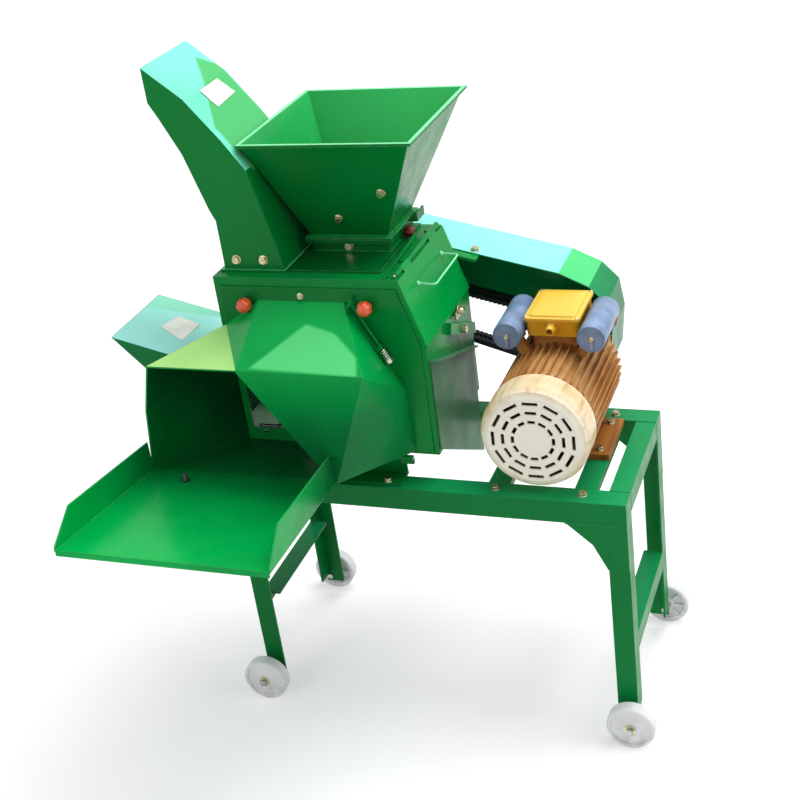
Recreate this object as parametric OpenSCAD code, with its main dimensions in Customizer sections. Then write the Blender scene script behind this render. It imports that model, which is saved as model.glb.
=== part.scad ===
/* [Frame] */
// Length of the frame over the end rails
frame_len = 772; // [740:2:840]
// Depth of the frame over the long rails
frame_depth = 340; // [330:5:360]
// Length of each leg
leg_len = 480; // [420:5:520]
// Leg width of the rails' angle iron
rail_w = 45; // [40:1:50]
// Leg width of the legs' and stretchers' angle iron
leg_w = 38; // [35:1:44]
// Thickness of the angle iron
iron_t = 4; // [3:0.5:5]
// Height of the lower stretchers' top face
stretcher_top = 215; // [120:5:300]
// Width of the corner gussets beyond the leg
gusset_w = 73; // [50:1:90]
// Drop of the corner gussets below the rail
gusset_h = 95; // [70:1:120]

/* [Wheels] */
// Distance of a wheel axle from the end of the frame
axle_inset = 8; // [7:0.5:16]
// Distance between the middles of front and back wheels
wheel_track = 390; // [386:2:410]
// Radius of a wheel
wheel_r = 46; // [42:1:50]
// Width of a wheel
wheel_w = 28; // [22:1:32]
// Radius of the stub axles
axle_r = 6; // [5:0.5:7]

/* [Casing] */
// Left face of the casing, from the middle of the wheelbase
body_left = -360; // [-365:1:-350]
// Right face of the casing
body_right = 35; // [30:1:45]
// Front face of the closed door
body_front = -120; // [-125:1:-115]
// Back face of the casing
body_back = 140; // [135:1:145]
// Height of the casing above the frame
body_h = 394; // [385:1:410]
// Thickness of the sheet steel
sheet_t = 3; // [2:0.5:4]
// Width of the slanted shoulder
shoulder_w = 40; // [30:1:50]
// Drop of the slanted shoulder
shoulder_h = 127; // [110:1:140]

/* [Hopper] */
// Width of the square hopper mouth, over the rim
hopper_w = 326; // [300:2:340]
// Height of the hopper above its flange
hopper_h = 198; // [180:2:220]
// Width of the throat along the frame
throat_w = 150; // [120:2:154]
// Depth of the throat
throat_d = 130; // [110:2:134]
// Height of the neck between casing and gate
neck_h = 27; // [22:1:34]
// Thickness of the slide gate
gate_t = 3; // [2:0.5:4]

/* [Chutes] */
// Width of the tall chute, front to back
tall_w = 175; // [160:1:180]
// Height of the tall chute above the casing
tall_h = 378; // [340:2:400]
// Width of the side chute, front to back
side_w = 200; // [180:2:210]
// Reach of the side chute beyond the casing
side_reach = 273; // [240:1:290]

/* [Feed hood and table] */
// Depth of the hood in front of the door
hood_d = 130; // [110:1:140]
// Width of the feed table at its front edge
table_w = 405; // [380:1:420]
// Depth of the feed table
table_d = 316; // [260:2:340]
// Height of the table's side walls
table_wall = 60; // [40:1:70]
// Rise of the table towards its front edge, in degrees
table_tilt = 5; // [0:0.5:8]

/* [Rotor] */
// Radius of the main shaft
shaft_r = 17.5; // [15:0.5:18]
// Radius of the rotor discs
disc_r = 115; // [105:1:120]
// Thickness of the rotor discs
disc_t = 8; // [6:0.5:10]
// Radius swept by the knives
knife_reach = 145; // [135:1:150]
// Thickness of the knives
knife_t = 8; // [6:0.5:9]
// Radius of the hammer pins' circle
pin_circle = 92; // [85:1:95]
// Radius of a hammer pin
pin_r = 6; // [5:0.5:7]
// Hammers on each pin
hammer_count = 5; // [3:1:6]
// Inner radius of the screen
screen_r = 160; // [155:1:165]

/* [Drive] */
// Outer radius of the driven pulley
driven_r = 46; // [42:1:60]
// Outer radius of the motor pulley
motor_pulley_r = 58; // [50:1:60]
// Distance between the two belts
belt_pitch = 21; // [21:0.5:23]
// Width of the belt guard, front to back
guard_w = 120; // [114:1:124]

/* [Motor] */
// Motor axis from the middle of the wheelbase
motor_x = 224; // [222:1:236]
// Height of the motor axis above its feet
motor_h = 112; // [112:1:116]
// Radius of the motor body over its fins
motor_r = 98; // [92:1:98]
// Radius of the fan cover
cover_r = 99; // [94:1:99]
// Radius of a capacitor
capacitor_r = 26; // [20:1:27]
// Length of a capacitor
capacitor_len = 130; // [100:1:140]
// Radius of the cable entry in the gland
gland_bore = 5.5; // [4:0.5:6.5]

/* [Hidden] */

// Clearances
run_fit = 0.05;
seat_gap = 0.3;
knuckle_gap = 0.6;

// Heights and edges that follow from the frame
leg_bottom = wheel_r - 12;
frame_top = leg_bottom + leg_len + iron_t;
frame_x = frame_len / 2;
frame_y = frame_depth / 2;
wheelbase = frame_len - 2 * axle_inset;
body_top = frame_top + body_h;
body_low = body_top - shoulder_h;
shoulder_x = body_right - shoulder_w;
plate_front = body_front + sheet_t;
wall_front = plate_front + sheet_t;
wall_back = body_back - sheet_t;

// Places of the whole part: the middle of its outer box comes to the origin
outer_left = body_left - side_reach;
outer_right = wheelbase / 2 + wheel_r;
table_rear_y = body_front - hood_d;
table_lip = 8;
outer_front = table_rear_y - table_d * cos(table_tilt) - table_lip * sin(table_tilt);
pulley_y = body_back + 60;
pulley_w = 2 * belt_pitch + 4;
guard_y = body_back + 22;
outer_back = guard_y + guard_w;
place_x = -(outer_left + outer_right) / 2;
place_y = -(outer_front + outer_back) / 2;

// Rotor
shaft_x = -165;
shaft_z = frame_top + 222;
knife_gap = 1.5;
blade_t = 6;
knife_front = plate_front + blade_t + knife_gap;
front_disc_y = knife_front + knife_t;
rear_disc_y = 62;
hub_r = 30;
knife_count = 3;
pin_angles = [60, 180, 300];
hammer_t = 6;
hammer_w = 38;
hammer_len = 72;
pulley_bore_r = 14;

// Motor
bearer_t = 14;
motor_z = frame_top - iron_t + motor_h;
motor_back = 150;
motor_front = -85;
cover_front = -150;
foot_x = 80;
foot_ys = [0, 100];
stator_r = 82;
rotor_core_r = 51.5;
motor_shaft_r = 14;
box_w = 104;
box_y = 30;
box_d = 120;
box_z = motor_z + 114;
box_h = 31;
capacitor_x = 78;
capacitor_z = 126;

// Wheels and axles
axle_x = wheelbase / 2;
axle_y = wheel_track / 2;
wheel_in = axle_y - wheel_w / 2;
wheel_out = axle_y + wheel_w / 2;
leg_face = frame_y - iron_t;

// Hopper and gate levels
flange_t = 4;
neck_top = body_top + neck_h;
slot_h = gate_t + 2 * seat_gap;
hopper_base = neck_top + slot_h;
throat_x = shaft_x - throat_w / 2 + 35;
throat_y = 0;
hopper_x = -287;
hopper_y = -79;
gate_grip = 26;

// Chutes
tall_y = -90;
tall_x = -346;
side_y = -80;

// Shoulder: s runs down the slope, h stands out from it
slope_len = norm([shoulder_w, shoulder_h]);
slope_turn = atan2(shoulder_h, shoulder_w);
hinge_r = 5;
hinge_pin_r = 2.5;
cover_hinge = [shoulder_x - 4, body_top + hinge_r];
cover_knuckles = [[-80, -40], [60, 100]];
case_knuckles = [[-108, -80], [-40, 60], [100, 128]];

// Door hinge along the bottom edge
door_hinge = [body_front - 7, frame_top + 42];
door_bottom = door_hinge[1] + 1;
door_knuckles = [[-300, -230], [-90, -40]];
sill_knuckles = [[-335, -300], [-230, -90], [-40, -14]];
knob_z = body_top - 47;
knob_xs = [-297, -63];
knob_r = 14;
stud_r = 4;

// Small fasteners
bolt_r = 4;
bolt_hole = bolt_r + 0.4;
head_r = 7.5;
head_t = 5.5;

module box(low, high) {
    translate(low) cube(high - low);
}

// Round bar along Y between two stations
module bar_y(x, z, y_low, y_high, r, fn = 48) {
    translate([x, y_high, z]) rotate([90, 0, 0]) cylinder(h = y_high - y_low, r = r, $fn = fn);
}

// Round bar along X between two stations
module bar_x(y, z, x_low, x_high, r, fn = 48) {
    translate([x_low, y, z]) rotate([0, 90, 0]) cylinder(h = x_high - x_low, r = r, $fn = fn);
}

// Outline in X and Z, given thickness along Y
module plate_y(y_low, y_high) {
    translate([0, y_high, 0]) rotate([90, 0, 0]) linear_extrude(y_high - y_low) children();
}

// Outline in X and Y, given thickness along Z
module plate_z(z_low, z_high) {
    translate([0, 0, z_low]) linear_extrude(z_high - z_low) children();
}

module rect(x_low, z_low, x_high, z_high) {
    translate([x_low, z_low]) square([x_high - x_low, z_high - z_low]);
}

// Hexagon bolt with washer: the head stands in +Z on the seat, the shank runs down
module bolt(shank) {
    cylinder(h = 1.5, r = head_r + 1.5, $fn = 24);
    translate([0, 0, 1.5]) cylinder(h = head_t, r = head_r, $fn = 6);
    translate([0, 0, -shank]) cylinder(h = shank + 1, r = bolt_r, $fn = 24);
}

module bolt_front(x, y, z, shank) {
    translate([x, y, z]) rotate([90, 0, 0]) bolt(shank);
}

module bolt_back(x, y, z, shank) {
    translate([x, y, z]) rotate([-90, 0, 0]) bolt(shank);
}

module bolt_right(x, y, z, shank) {
    translate([x, y, z]) rotate([0, 90, 0]) bolt(shank);
}

module bolt_top(x, y, z, shank) {
    translate([x, y, z]) bolt(shank);
}

// Moves the design frame, centred on the wheels, to the part's own origin
module place() {
    translate([place_x, place_y, 0]) children();
}

module frame_paint() {
    color([0.02, 0.42, 0.20]) children();
}

module sheet_paint() {
    color([0.0, 0.55, 0.25]) children();
}

// Frame
module rail_section() {
    square([rail_w, iron_t]);
    square([iron_t, rail_w]);
}

module long_rail() {
    difference() {
        translate([-frame_x, -frame_y, frame_top]) rotate([0, 90, 0]) linear_extrude(frame_len) rail_section();
        for (x = foot_bolt_xs) translate([x, -foot_bolt_y, frame_top - 10]) cylinder(h = 20, r = bolt_hole, $fn = 24);
        for (x = [motor_x - foot_x, motor_x + foot_x]) {
            translate([x, -frame_y + 25, frame_top - 10]) cylinder(h = 20, r = bolt_hole, $fn = 24);
        }
    }
}

foot_bolt_xs = [-330, -60];
foot_bolt_y = frame_y - 19;

module front_rail() {
    place() frame_paint() long_rail();
}

module back_rail() {
    place() frame_paint() mirror([0, 1, 0]) long_rail();
}

module end_rail() {
    inner = frame_y - rail_w;
    box([frame_x - leg_w, -inner, frame_top - iron_t], [frame_x, inner, frame_top]);
    box([frame_x - iron_t, -inner, frame_top - leg_w], [frame_x, inner, frame_top - iron_t]);
}

module end_rails() {
    place() frame_paint() {
        end_rail();
        mirror([1, 0, 0]) end_rail();
    }
}

// One leg with its gusset: the gusset lies in the rail's plane, under the rail
module leg() {
    gusset_z = frame_top - rail_w;
    difference() {
        box([frame_x - leg_w, -leg_face, leg_bottom], [frame_x, -leg_face + iron_t, frame_top - iron_t]);
        bar_y(axle_x, wheel_r, -frame_y, 0, axle_r + run_fit);
    }
    box([frame_x - iron_t, -leg_face, leg_bottom + 18], [frame_x, -leg_face + leg_w, frame_top - iron_t]);
    plate_y(-frame_y, -leg_face) polygon([
        [frame_x - leg_w - gusset_w, gusset_z],
        [frame_x, gusset_z],
        [frame_x, gusset_z - gusset_h],
        [frame_x - leg_w, gusset_z - gusset_h],
        [frame_x - leg_w - gusset_w * 0.35, gusset_z - gusset_h * 0.45]
    ]);
}

module legs() {
    place() frame_paint() for (sx = [0, 1], sy = [0, 1]) {
        mirror([sx, 0, 0]) mirror([0, sy, 0]) leg();
    }
}

module stretcher() {
    inner = leg_face - leg_w;
    box([frame_x - leg_w, -inner, stretcher_top - iron_t], [frame_x, inner, stretcher_top]);
    box([frame_x - iron_t, -inner, stretcher_top - leg_w], [frame_x, inner, stretcher_top - iron_t]);
}

module lower_stretchers() {
    place() frame_paint() {
        stretcher();
        mirror([1, 0, 0]) stretcher();
    }
}

// Two channel bearers under the rails' top flanges; their slots let the motor slide to tighten the belts
module motor_bearer(x) {
    half = 20;
    wall = 4;
    high = frame_top - iron_t;
    end = leg_face - seat_gap;
    difference() {
        box([x - half, -end, high - bearer_t], [x + half, end, high]);
        box([x - half + wall, -frame_y, high - bearer_t - 1], [x + half - wall, frame_y, high - wall]);
        for (y = foot_ys) box([x - 12, y - bolt_hole, high - wall - 1], [x + 12, y + bolt_hole, high + 1]);
        for (y = [-frame_y + 25, frame_y - 25]) {
            translate([x, y, high - wall - 1]) cylinder(h = wall + 2, r = bolt_hole, $fn = 24);
        }
    }
}

module motor_bearers() {
    place() frame_paint() {
        motor_bearer(motor_x - foot_x);
        motor_bearer(motor_x + foot_x);
    }
}

// Wheels
module at_corners() {
    for (sx = [-1, 1], sy = [-1, 1]) translate([sx * axle_x, 0, wheel_r]) scale_y(sy) children();
}

module scale_y(sy) {
    if (sy > 0) mirror([0, 1, 0]) children();
    else children();
}

pin_y = wheel_out + 5;
axle_end = wheel_out + 10;

module stub_axles() {
    place() color("silver") at_corners() difference() {
        union() {
            bar_y(0, 0, -axle_end, -leg_face + iron_t + 3, axle_r);
            bar_y(0, 0, -wheel_in + 0.5, -leg_face, axle_r + 4);
        }
        translate([0, -pin_y, -20]) cylinder(h = 40, r = 1.6, $fn = 16);
    }
}

module axle_fasteners() {
    place() color("gainsboro") at_corners() {
        translate([0, -pin_y, -10]) cylinder(h = 20, r = 1.5, $fn = 16);
        translate([0, -pin_y, 10]) cylinder(h = 2, r = 3, $fn = 16);
        difference() {
            bar_y(0, 0, -pin_y + 1.6, -wheel_out - 0.3, 11);
            bar_y(0, 0, -pin_y, -wheel_out, axle_r + 0.2);
        }
    }
}

// White plastic wheel, turned about Y: rim, web and hub
module wheel() {
    half = wheel_w / 2;
    rotate([90, 0, 0]) rotate_extrude($fn = 96) polygon([
        [axle_r + 0.08, -half],
        [16, -half],
        [18, -half + 6],
        [wheel_r - 11, -half + 6],
        [wheel_r - 9, -half + 1],
        [wheel_r - 3, -half + 1],
        [wheel_r, -half + 4],
        [wheel_r, half - 4],
        [wheel_r - 3, half - 1],
        [wheel_r - 9, half - 1],
        [wheel_r - 11, half - 6],
        [18, half - 6],
        [16, half],
        [axle_r + 0.08, half]
    ]);
}

module wheel_at(sx, sy) {
    place() color("whitesmoke") translate([sx * axle_x, sy * axle_y, wheel_r]) wheel();
}

module front_left_wheel() {
    wheel_at(-1, -1);
}

module front_right_wheel() {
    wheel_at(1, -1);
}

module back_left_wheel() {
    wheel_at(-1, 1);
}

module back_right_wheel() {
    wheel_at(1, 1);
}

// Casing: the foot is narrower than the body on the right
foot_right = -32;
step_z = frame_top + 46;

module body_outline() {
    polygon([
        [body_left, frame_top],
        [foot_right, frame_top],
        [foot_right - 5, step_z],
        [body_right, step_z],
        [body_right, body_low],
        [shoulder_x, body_top],
        [body_left, body_top]
    ]);
}

door_open_z = frame_top + 67;
door_open_top = body_top - 62;

module casing_front() {
    place() sheet_paint() difference() {
        union() {
            plate_y(plate_front, wall_front) body_outline();
            box([body_left, -frame_y + 8, frame_top], [foot_right, wall_front, frame_top + flange_t]);
            box([body_left, body_front, frame_top + flange_t], [foot_right, plate_front, door_hinge[1] - 1]);
            for (k = sill_knuckles) sill_knuckle(k);
        }
        plate_y(plate_front - 1, wall_front + 1) polygon([
            [body_left + 20, door_open_z],
            [body_right - 20, door_open_z],
            [body_right - 20, body_low + 10],
            [shoulder_x + 2, door_open_top],
            [body_left + 20, door_open_top]
        ]);
        for (x = knob_xs) bar_y(x, knob_z, body_front, wall_front + 1, stud_r + 2);
        bar_x(door_hinge[0], door_hinge[1], body_left, body_right, hinge_pin_r + run_fit);
        for (x = foot_bolt_xs) translate([x, -foot_bolt_y, frame_top - 1]) cylinder(h = 10, r = bolt_hole, $fn = 24);
    }
}

// Fixed knuckle of the door hinge with its leaf on the sill
module sill_knuckle(span) {
    low = span[0] + knuckle_gap / 2;
    high = span[1] - knuckle_gap / 2;
    bar_x(door_hinge[0], door_hinge[1], low, high, hinge_r);
    box([low, door_hinge[0], door_hinge[1] - 14], [high, body_front, door_hinge[1] - 3]);
}

module door_knuckle(span) {
    low = span[0] + knuckle_gap / 2;
    high = span[1] - knuckle_gap / 2;
    bar_x(door_hinge[0], door_hinge[1], low, high, hinge_r);
    box([low, door_hinge[0], door_hinge[1]], [high, body_front + sheet_t, door_hinge[1] + 7]);
}

housing_r = 50;
spigot_r = 45;
housing_flange_r = 76;
housing_bolts = [45, 135, 225, 315];
housing_bolt_r = 63;

module casing_back() {
    place() sheet_paint() difference() {
        union() {
            plate_y(wall_back, body_back) body_outline();
            box([body_left, body_back, frame_top], [foot_right, frame_y - 8, frame_top + flange_t]);
            guard_stay(guard_bolt_xs[0], 12);
            guard_stay(guard_bolt_xs[1], 46);
        }
        bar_y(shaft_x, shaft_z, wall_back - 1, body_back + 1, spigot_r + seat_gap, 96);
        for (a = housing_bolts) housing_bolt_hole(a, wall_back - 1, body_back + 1);
        for (x = foot_bolt_xs) translate([x, foot_bolt_y, frame_top - 1]) cylinder(h = 10, r = bolt_hole, $fn = 24);
    }
}

module housing_bolt_hole(a, y_low, y_high) {
    bar_y(shaft_x + housing_bolt_r * cos(a), shaft_z + housing_bolt_r * sin(a), y_low, y_high, bolt_hole, 24);
}

// Line of the guard's sloping top: height of its outer face at a station along the frame
guard_fall = 0.238;

function guard_top(x) = frame_top + 363 - guard_fall * (x + 104);

guard_turn = atan(guard_fall);
guard_t = 2;

guard_bolt_xs = [-150, 45];
guard_bolt_y = guard_y + 12;

// Arm from the casing's back plate to the underside of the guard's top strip
module guard_stay(x, left) {
    arm_t = 6;
    translate([x, body_back, guard_top(x)]) rotate([0, guard_turn, 0]) difference() {
        translate([-left, 0, -guard_t - seat_gap - arm_t]) cube([left + 12, guard_bolt_y + 14 - body_back, arm_t]);
        translate([0, guard_bolt_y - body_back, -20]) cylinder(h = 30, r = bolt_hole, $fn = 24);
    }
}

module casing_left() {
    place() sheet_paint() difference() {
        box([body_left, wall_front, frame_top], [body_left + sheet_t, wall_back, body_top - sheet_t]);
        box([body_left - 1, side_y + sheet_t, side_low], [body_left + sheet_t + 1, side_y + side_w - sheet_t, side_high]);
    }
}

side_high = frame_top + 166;
side_low = frame_top + 92;

latch_y = 65;
latch_z = body_low - 15;
bracket_bolt = [61, body_low - 51];

// Outline in Y and Z, given thickness along X
module plate_x(x_low, x_high) {
    translate([x_low, 0, 0]) rotate([90, 0, 90]) linear_extrude(x_high - x_low) children();
}

module casing_right() {
    place() sheet_paint() difference() {
        union() {
            box([body_right - sheet_t, wall_front, step_z], [body_right, wall_back, body_low]);
            plate_x(body_right, body_right + 9) polygon([
                [-8, body_low - 30],
                [0, body_low - 10],
                [wall_back - 5, body_low - 70],
                [wall_back - 5, body_low - 94]
            ]);
        }
        bar_x(latch_y, latch_z, body_right - 10, body_right + 10, bolt_r + run_fit, 24);
        bar_x(bracket_bolt[0], bracket_bolt[1], body_right - 10, body_right + 20, bolt_hole, 24);
    }
}

module casing_top() {
    place() sheet_paint() difference() {
        union() {
            box([body_left, wall_front, body_top - sheet_t], [shoulder_x, wall_back, body_top]);
            box([tall_x + 12, tall_y + sheet_t + 0.2, body_top], [tall_x + 106, tall_y + 2 * sheet_t, body_top + 36]);
            for (k = case_knuckles) case_knuckle(k);
            plate_x(shoulder_x - 24, shoulder_x - 21) polygon([
                [wall_front, body_top - 1],
                [62, body_top - 1],
                [62, body_top + 15],
                [-60, body_top + 6],
                [wall_front, body_top + 3]
            ]);
        }
        box(
            [tall_x + sheet_t, tall_y + 2 * sheet_t, body_top - 10],
            [tall_x + tall_base_w - sheet_t, tall_y + tall_w - sheet_t, body_top + 1]
        );
        box(
            [throat_x + sheet_t, throat_y + sheet_t, body_top - 10],
            [throat_x + throat_w - sheet_t, throat_y + throat_d - sheet_t, body_top + 1]
        );
        bar_y(cover_hinge[0], cover_hinge[1], wall_front - 1, wall_back + 1, hinge_pin_r + run_fit);
        for (x = chute_bolt_xs) bar_y(x, chute_bolt_z, tall_y, tall_y + 20, bolt_hole, 24);
    }
}

chute_bolt_xs = [-319, -265];
chute_bolt_z = body_top + 23;

module case_knuckle(span) {
    low = span[0] + knuckle_gap / 2;
    high = span[1] - knuckle_gap / 2;
    bar_y(cover_hinge[0], cover_hinge[1], low, high, hinge_r);
    box([cover_hinge[0] - 16, low, body_top], [cover_hinge[0], high, body_top + 3]);
}

// Screen: a half tube under the rotor with rows of round holes
screen_t = 3;
screen_low_a = 200;
screen_high_a = 340;
screen_front = plate_front + blade_t + 1;

module screen() {
    place() color("slategray") translate([shaft_x, 0, shaft_z]) difference() {
        rotate([90, 0, 0]) translate([0, 0, -wall_back]) rotate([0, 0, screen_low_a]) {
            rotate_extrude(angle = screen_high_a - screen_low_a, $fn = 120) {
                translate([screen_r, 0]) square([screen_t, wall_back - screen_front]);
            }
        }
        for (a = [screen_low_a + 10:12:screen_high_a - 10], y = [-90:30:120]) {
            translate([0, y, 0]) rotate([0, -a, 0]) translate([screen_r - 5, 0, 0]) {
                rotate([0, 90, 0]) cylinder(h = 20, r = 6, $fn = 24);
            }
        }
    }
}

// Apron tack-welded to the right wall: it hangs down between the rails and keeps the chopped
// feed off the motor; its top edge slopes to the back and carries a bent lip
panel_slope = 20;

module side_panel() {
    front = wall_front + 2;
    back = wall_back - 17;
    high = body_low - 30;
    length = (back - front) / cos(panel_slope);
    place() color([0.30, 0.48, 0.34]) {
        plate_x(body_right, body_right + sheet_t) polygon([
            [front, step_z + 9],
            [front, high],
            [back, high - (back - front) * tan(panel_slope)],
            [back, frame_top - 84]
        ]);
        translate([body_right, front, high]) rotate([-panel_slope, 0, 0]) {
            translate([0, 1, -sheet_t]) cube([15, length - 2, sheet_t]);
        }
    }
}

// Tall chute: outline in X and Z from the foot to the mouth
tall_base_w = 120;
rim_rise = neck_h + slot_h + flange_t + hopper_h;

// Height of a bend: up to 1 it lies beside the hopper, from 1 to 2 above the hopper's rim
function bend_z(k) = body_top + (k < 1 ? k * rim_rise : rim_rise + (k - 1) * (tall_h - rim_rise));

function tall_left() = [
    [tall_x, body_top],
    [tall_x, bend_z(0.4144)],
    [tall_x - 9, bend_z(0.5038)],
    [tall_x - 41, bend_z(0.9556)],
    [tall_x - 72, bend_z(1.3683)],
    [tall_x - 88, bend_z(1.5736)]
];

function tall_right() = [
    [tall_x - 88, bend_z(2)],
    [tall_x - 19, bend_z(1.61)],
    [tall_x + 40, bend_z(1.0979)],
    [tall_x + 78, bend_z(0.8223)],
    [tall_x + 110, bend_z(0.2275)],
    [tall_x + tall_base_w, body_top]
];

module tall_outline() {
    polygon(concat(tall_left(), tall_right()));
}

module tall_chute() {
    place() sheet_paint() difference() {
        union() {
            plate_y(tall_y, tall_y + tall_w) tall_outline();
            plate_z(body_top, body_top + flange_t) difference() {
                rect(body_left + 6, tall_y - 3, tall_x + tall_base_w + 2, tall_y + tall_w + 14);
                rect(tall_x + 1, tall_y + 1, tall_x + tall_base_w - 1, tall_y + tall_w - 1);
            }
        }
        plate_y(tall_y + sheet_t, tall_y + tall_w - sheet_t) {
            offset(delta = -sheet_t) polygon(concat(
                [[tall_x, body_top - 20]],
                tall_left(),
                [[tall_x - 120, bend_z(1.5736)], [tall_x - 120, bend_z(2)]],
                tall_right(),
                [[tall_x + tall_base_w, body_top - 20]]
            ));
        }
        for (x = chute_bolt_xs) bar_y(x, chute_bolt_z, tall_y - 1, tall_y + sheet_t + 1, bolt_hole, 24);
    }
}

// Side chute: rises outwards, its mouth is cut back underneath
mouth_rise = 0.268;

function side_outline() = [
    [body_left, side_low - sheet_t],
    [body_left, side_high + sheet_t],
    [outer_left, side_high + sheet_t + mouth_rise * side_reach],
    [outer_left + 73, side_high - 1]
];

module side_chute() {
    place() sheet_paint() difference() {
        union() {
            plate_y(side_y, side_y + side_w) polygon(side_outline());
            box([body_left - flange_t, side_y - 14, side_low - 18], [body_left, side_y + side_w + 14, side_high + 18]);
        }
        plate_y(side_y + sheet_t, side_y + side_w - sheet_t) polygon([
            [body_left + 1, side_low],
            [body_left + 1, side_high],
            [body_left - flange_t, side_high],
            [outer_left - 20, side_high + mouth_rise * (side_reach + 20)],
            [outer_left - 20, side_high - 60],
            [outer_left + 73 - 4, side_high - 4],
            [outer_left + 73, side_high + 2],
            [body_left - flange_t, side_low]
        ]);
    }
}

// Hopper: square mouth, smaller throat, folded rim
module frustum(top_low, top_w, low_low, low_w, low_d, z_low, z_high) {
    hull() {
        translate([low_low[0], low_low[1], z_low]) cube([low_w, low_d, 0.1]);
        translate([top_low[0], top_low[1], z_high - 0.1]) cube([top_w, top_w, 0.1]);
    }
}

hopper_top = hopper_base + flange_t + hopper_h;
rim = 5;

module hopper() {
    wall = sheet_t - 0.5;
    base = hopper_base + flange_t;
    inner_w = hopper_w - 2 * rim;
    place() sheet_paint() difference() {
        union() {
            frustum(
                [hopper_x + rim, hopper_y + rim], inner_w,
                [throat_x, throat_y], throat_w, throat_d, base, hopper_top
            );
            plate_z(hopper_base, base) rect(throat_x - 10, throat_y - 12, throat_x + throat_w + 10, throat_y + throat_d + 9);
            plate_z(hopper_top - 5, hopper_top) {
                rect(hopper_x, hopper_y, hopper_x + hopper_w, hopper_y + hopper_w);
            }
        }
        frustum(
            [hopper_x + rim + wall, hopper_y + rim + wall], inner_w - 2 * wall,
            [throat_x + wall, throat_y + wall], throat_w - 2 * wall, throat_d - 2 * wall, base - 0.1, hopper_top + 0.1
        );
        plate_z(hopper_base - 1, base + 1) {
            rect(throat_x + wall, throat_y + wall, throat_x + throat_w - wall, throat_y + throat_d - wall);
        }
        for (b = hopper_bolts) on_hopper_front(b) translate([0, 0, -20]) cylinder(h = 40, r = bolt_hole, $fn = 24);
    }
}

// Front wall of the hopper: place of a bolt from its station and its height above the throat
hopper_lean = atan2(throat_y - hopper_y - rim, hopper_h);
hopper_bolts = [[-43, 95], [-140, 39]];

module on_hopper_front(b) {
    rise = b[1];
    translate([b[0], throat_y - rise * tan(hopper_lean), hopper_base + flange_t + rise]) {
        rotate([90 + hopper_lean, 0, 0]) rotate([0, 0, 0]) children();
    }
}

// Neck between casing and gate, with the two guide strips that the gate slides between
module hopper_neck() {
    out_x = throat_x + throat_w;
    out_y = throat_y + throat_d;
    place() sheet_paint() difference() {
        union() {
            plate_z(body_top, body_top + flange_t) rect(throat_x - 12, tall_y, out_x + 12, out_y + 6);
            plate_z(body_top, neck_top) rect(throat_x, throat_y, out_x, out_y);
            plate_z(neck_top - flange_t, neck_top) rect(throat_x - 10, throat_y - 12, out_x + 1, out_y + 9);
            plate_z(neck_top - 1, hopper_base) {
                rect(throat_x - 10, throat_y - 12, out_x + 10, throat_y - sheet_t);
                rect(throat_x - 10, out_y + sheet_t, out_x + 10, out_y + 9);
                rect(throat_x - 10, throat_y - 12, throat_x - 4, out_y + 9);
            }
            box([out_x, gate_knob_y - 10, body_top + flange_t], [out_x + 4, gate_knob_y + 10, neck_top - flange_t]);
        }
        plate_z(body_top - 1, neck_top + 0.01) rect(throat_x + sheet_t, throat_y + sheet_t, out_x - sheet_t, out_y - sheet_t);
        bar_x(gate_knob_y, gate_knob_z, out_x - sheet_t - 1, out_x + 5, stud_r + run_fit);
        bar_y(-134, body_top + 14, throat_y - 1, throat_y + sheet_t + 1, bolt_hole, 24);
    }
}

gate_knob_y = 68;
gate_knob_z = body_top + 15.5;

// Slide gate: a plate with a tongue beside the clamp knob, turned up at its end as a grip
gate_tongue = [gate_knob_y + 18, throat_y + throat_d - 4];

module gate_plate() {
    end = throat_x + throat_w + 2;
    right = throat_x + throat_w + gate_grip;
    low = neck_top + seat_gap;
    place() color("darkolivegreen") {
        box([throat_x - 2, throat_y - sheet_t + 0.3, low], [end, throat_y + throat_d + sheet_t - 0.3, low + gate_t]);
        box([end - 1, gate_tongue[0], low], [right, gate_tongue[1], low + gate_t]);
        box([right - 3, gate_tongue[0], low + gate_t], [right, gate_tongue[1], low + gate_t + 14]);
    }
}

module gate_knob() {
    x = throat_x + throat_w;
    place() color("firebrick") {
        bar_x(gate_knob_y, gate_knob_z, x - sheet_t + 1, x + 10, stud_r);
        translate([x + 4.4, gate_knob_y, gate_knob_z]) rotate([0, 90, 0]) rotate_extrude($fn = 48) polygon([
            [0, 0], [7, 0], [10.5, 4], [10.5, 14], [8, 18], [0, 19]
        ]);
    }
}

// Stands a piece on the shoulder: X runs down the slope, Z stands out from it
module on_shoulder() {
    translate([shoulder_x, 0, body_top]) rotate([0, slope_turn, 0]) children();
}

module shoulder_cover() {
    front = body_front + 2;
    back = body_back - 2;
    place() sheet_paint() difference() {
        union() {
            on_shoulder() translate([2, front, seat_gap]) cube([slope_len - 1, back - front, sheet_t]);
            for (k = cover_knuckles) {
                low = k[0] + knuckle_gap / 2;
                high = k[1] - knuckle_gap / 2;
                bar_y(cover_hinge[0], cover_hinge[1], low, high, hinge_r);
                on_shoulder() translate([-4, low + 1, seat_gap]) cube([8, high - low - 2, sheet_t]);
            }
        }
        bar_y(cover_hinge[0], cover_hinge[1], front - 1, back + 1, hinge_pin_r + run_fit);
    }
}

// Wire handle of the shoulder cover: two arms that slant down from the plate, and a grip bar
handle_r = 2;
handle_s = 38;
handle_ys = [-49, 85];
handle_out = 34;
handle_slant = 18;

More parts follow.
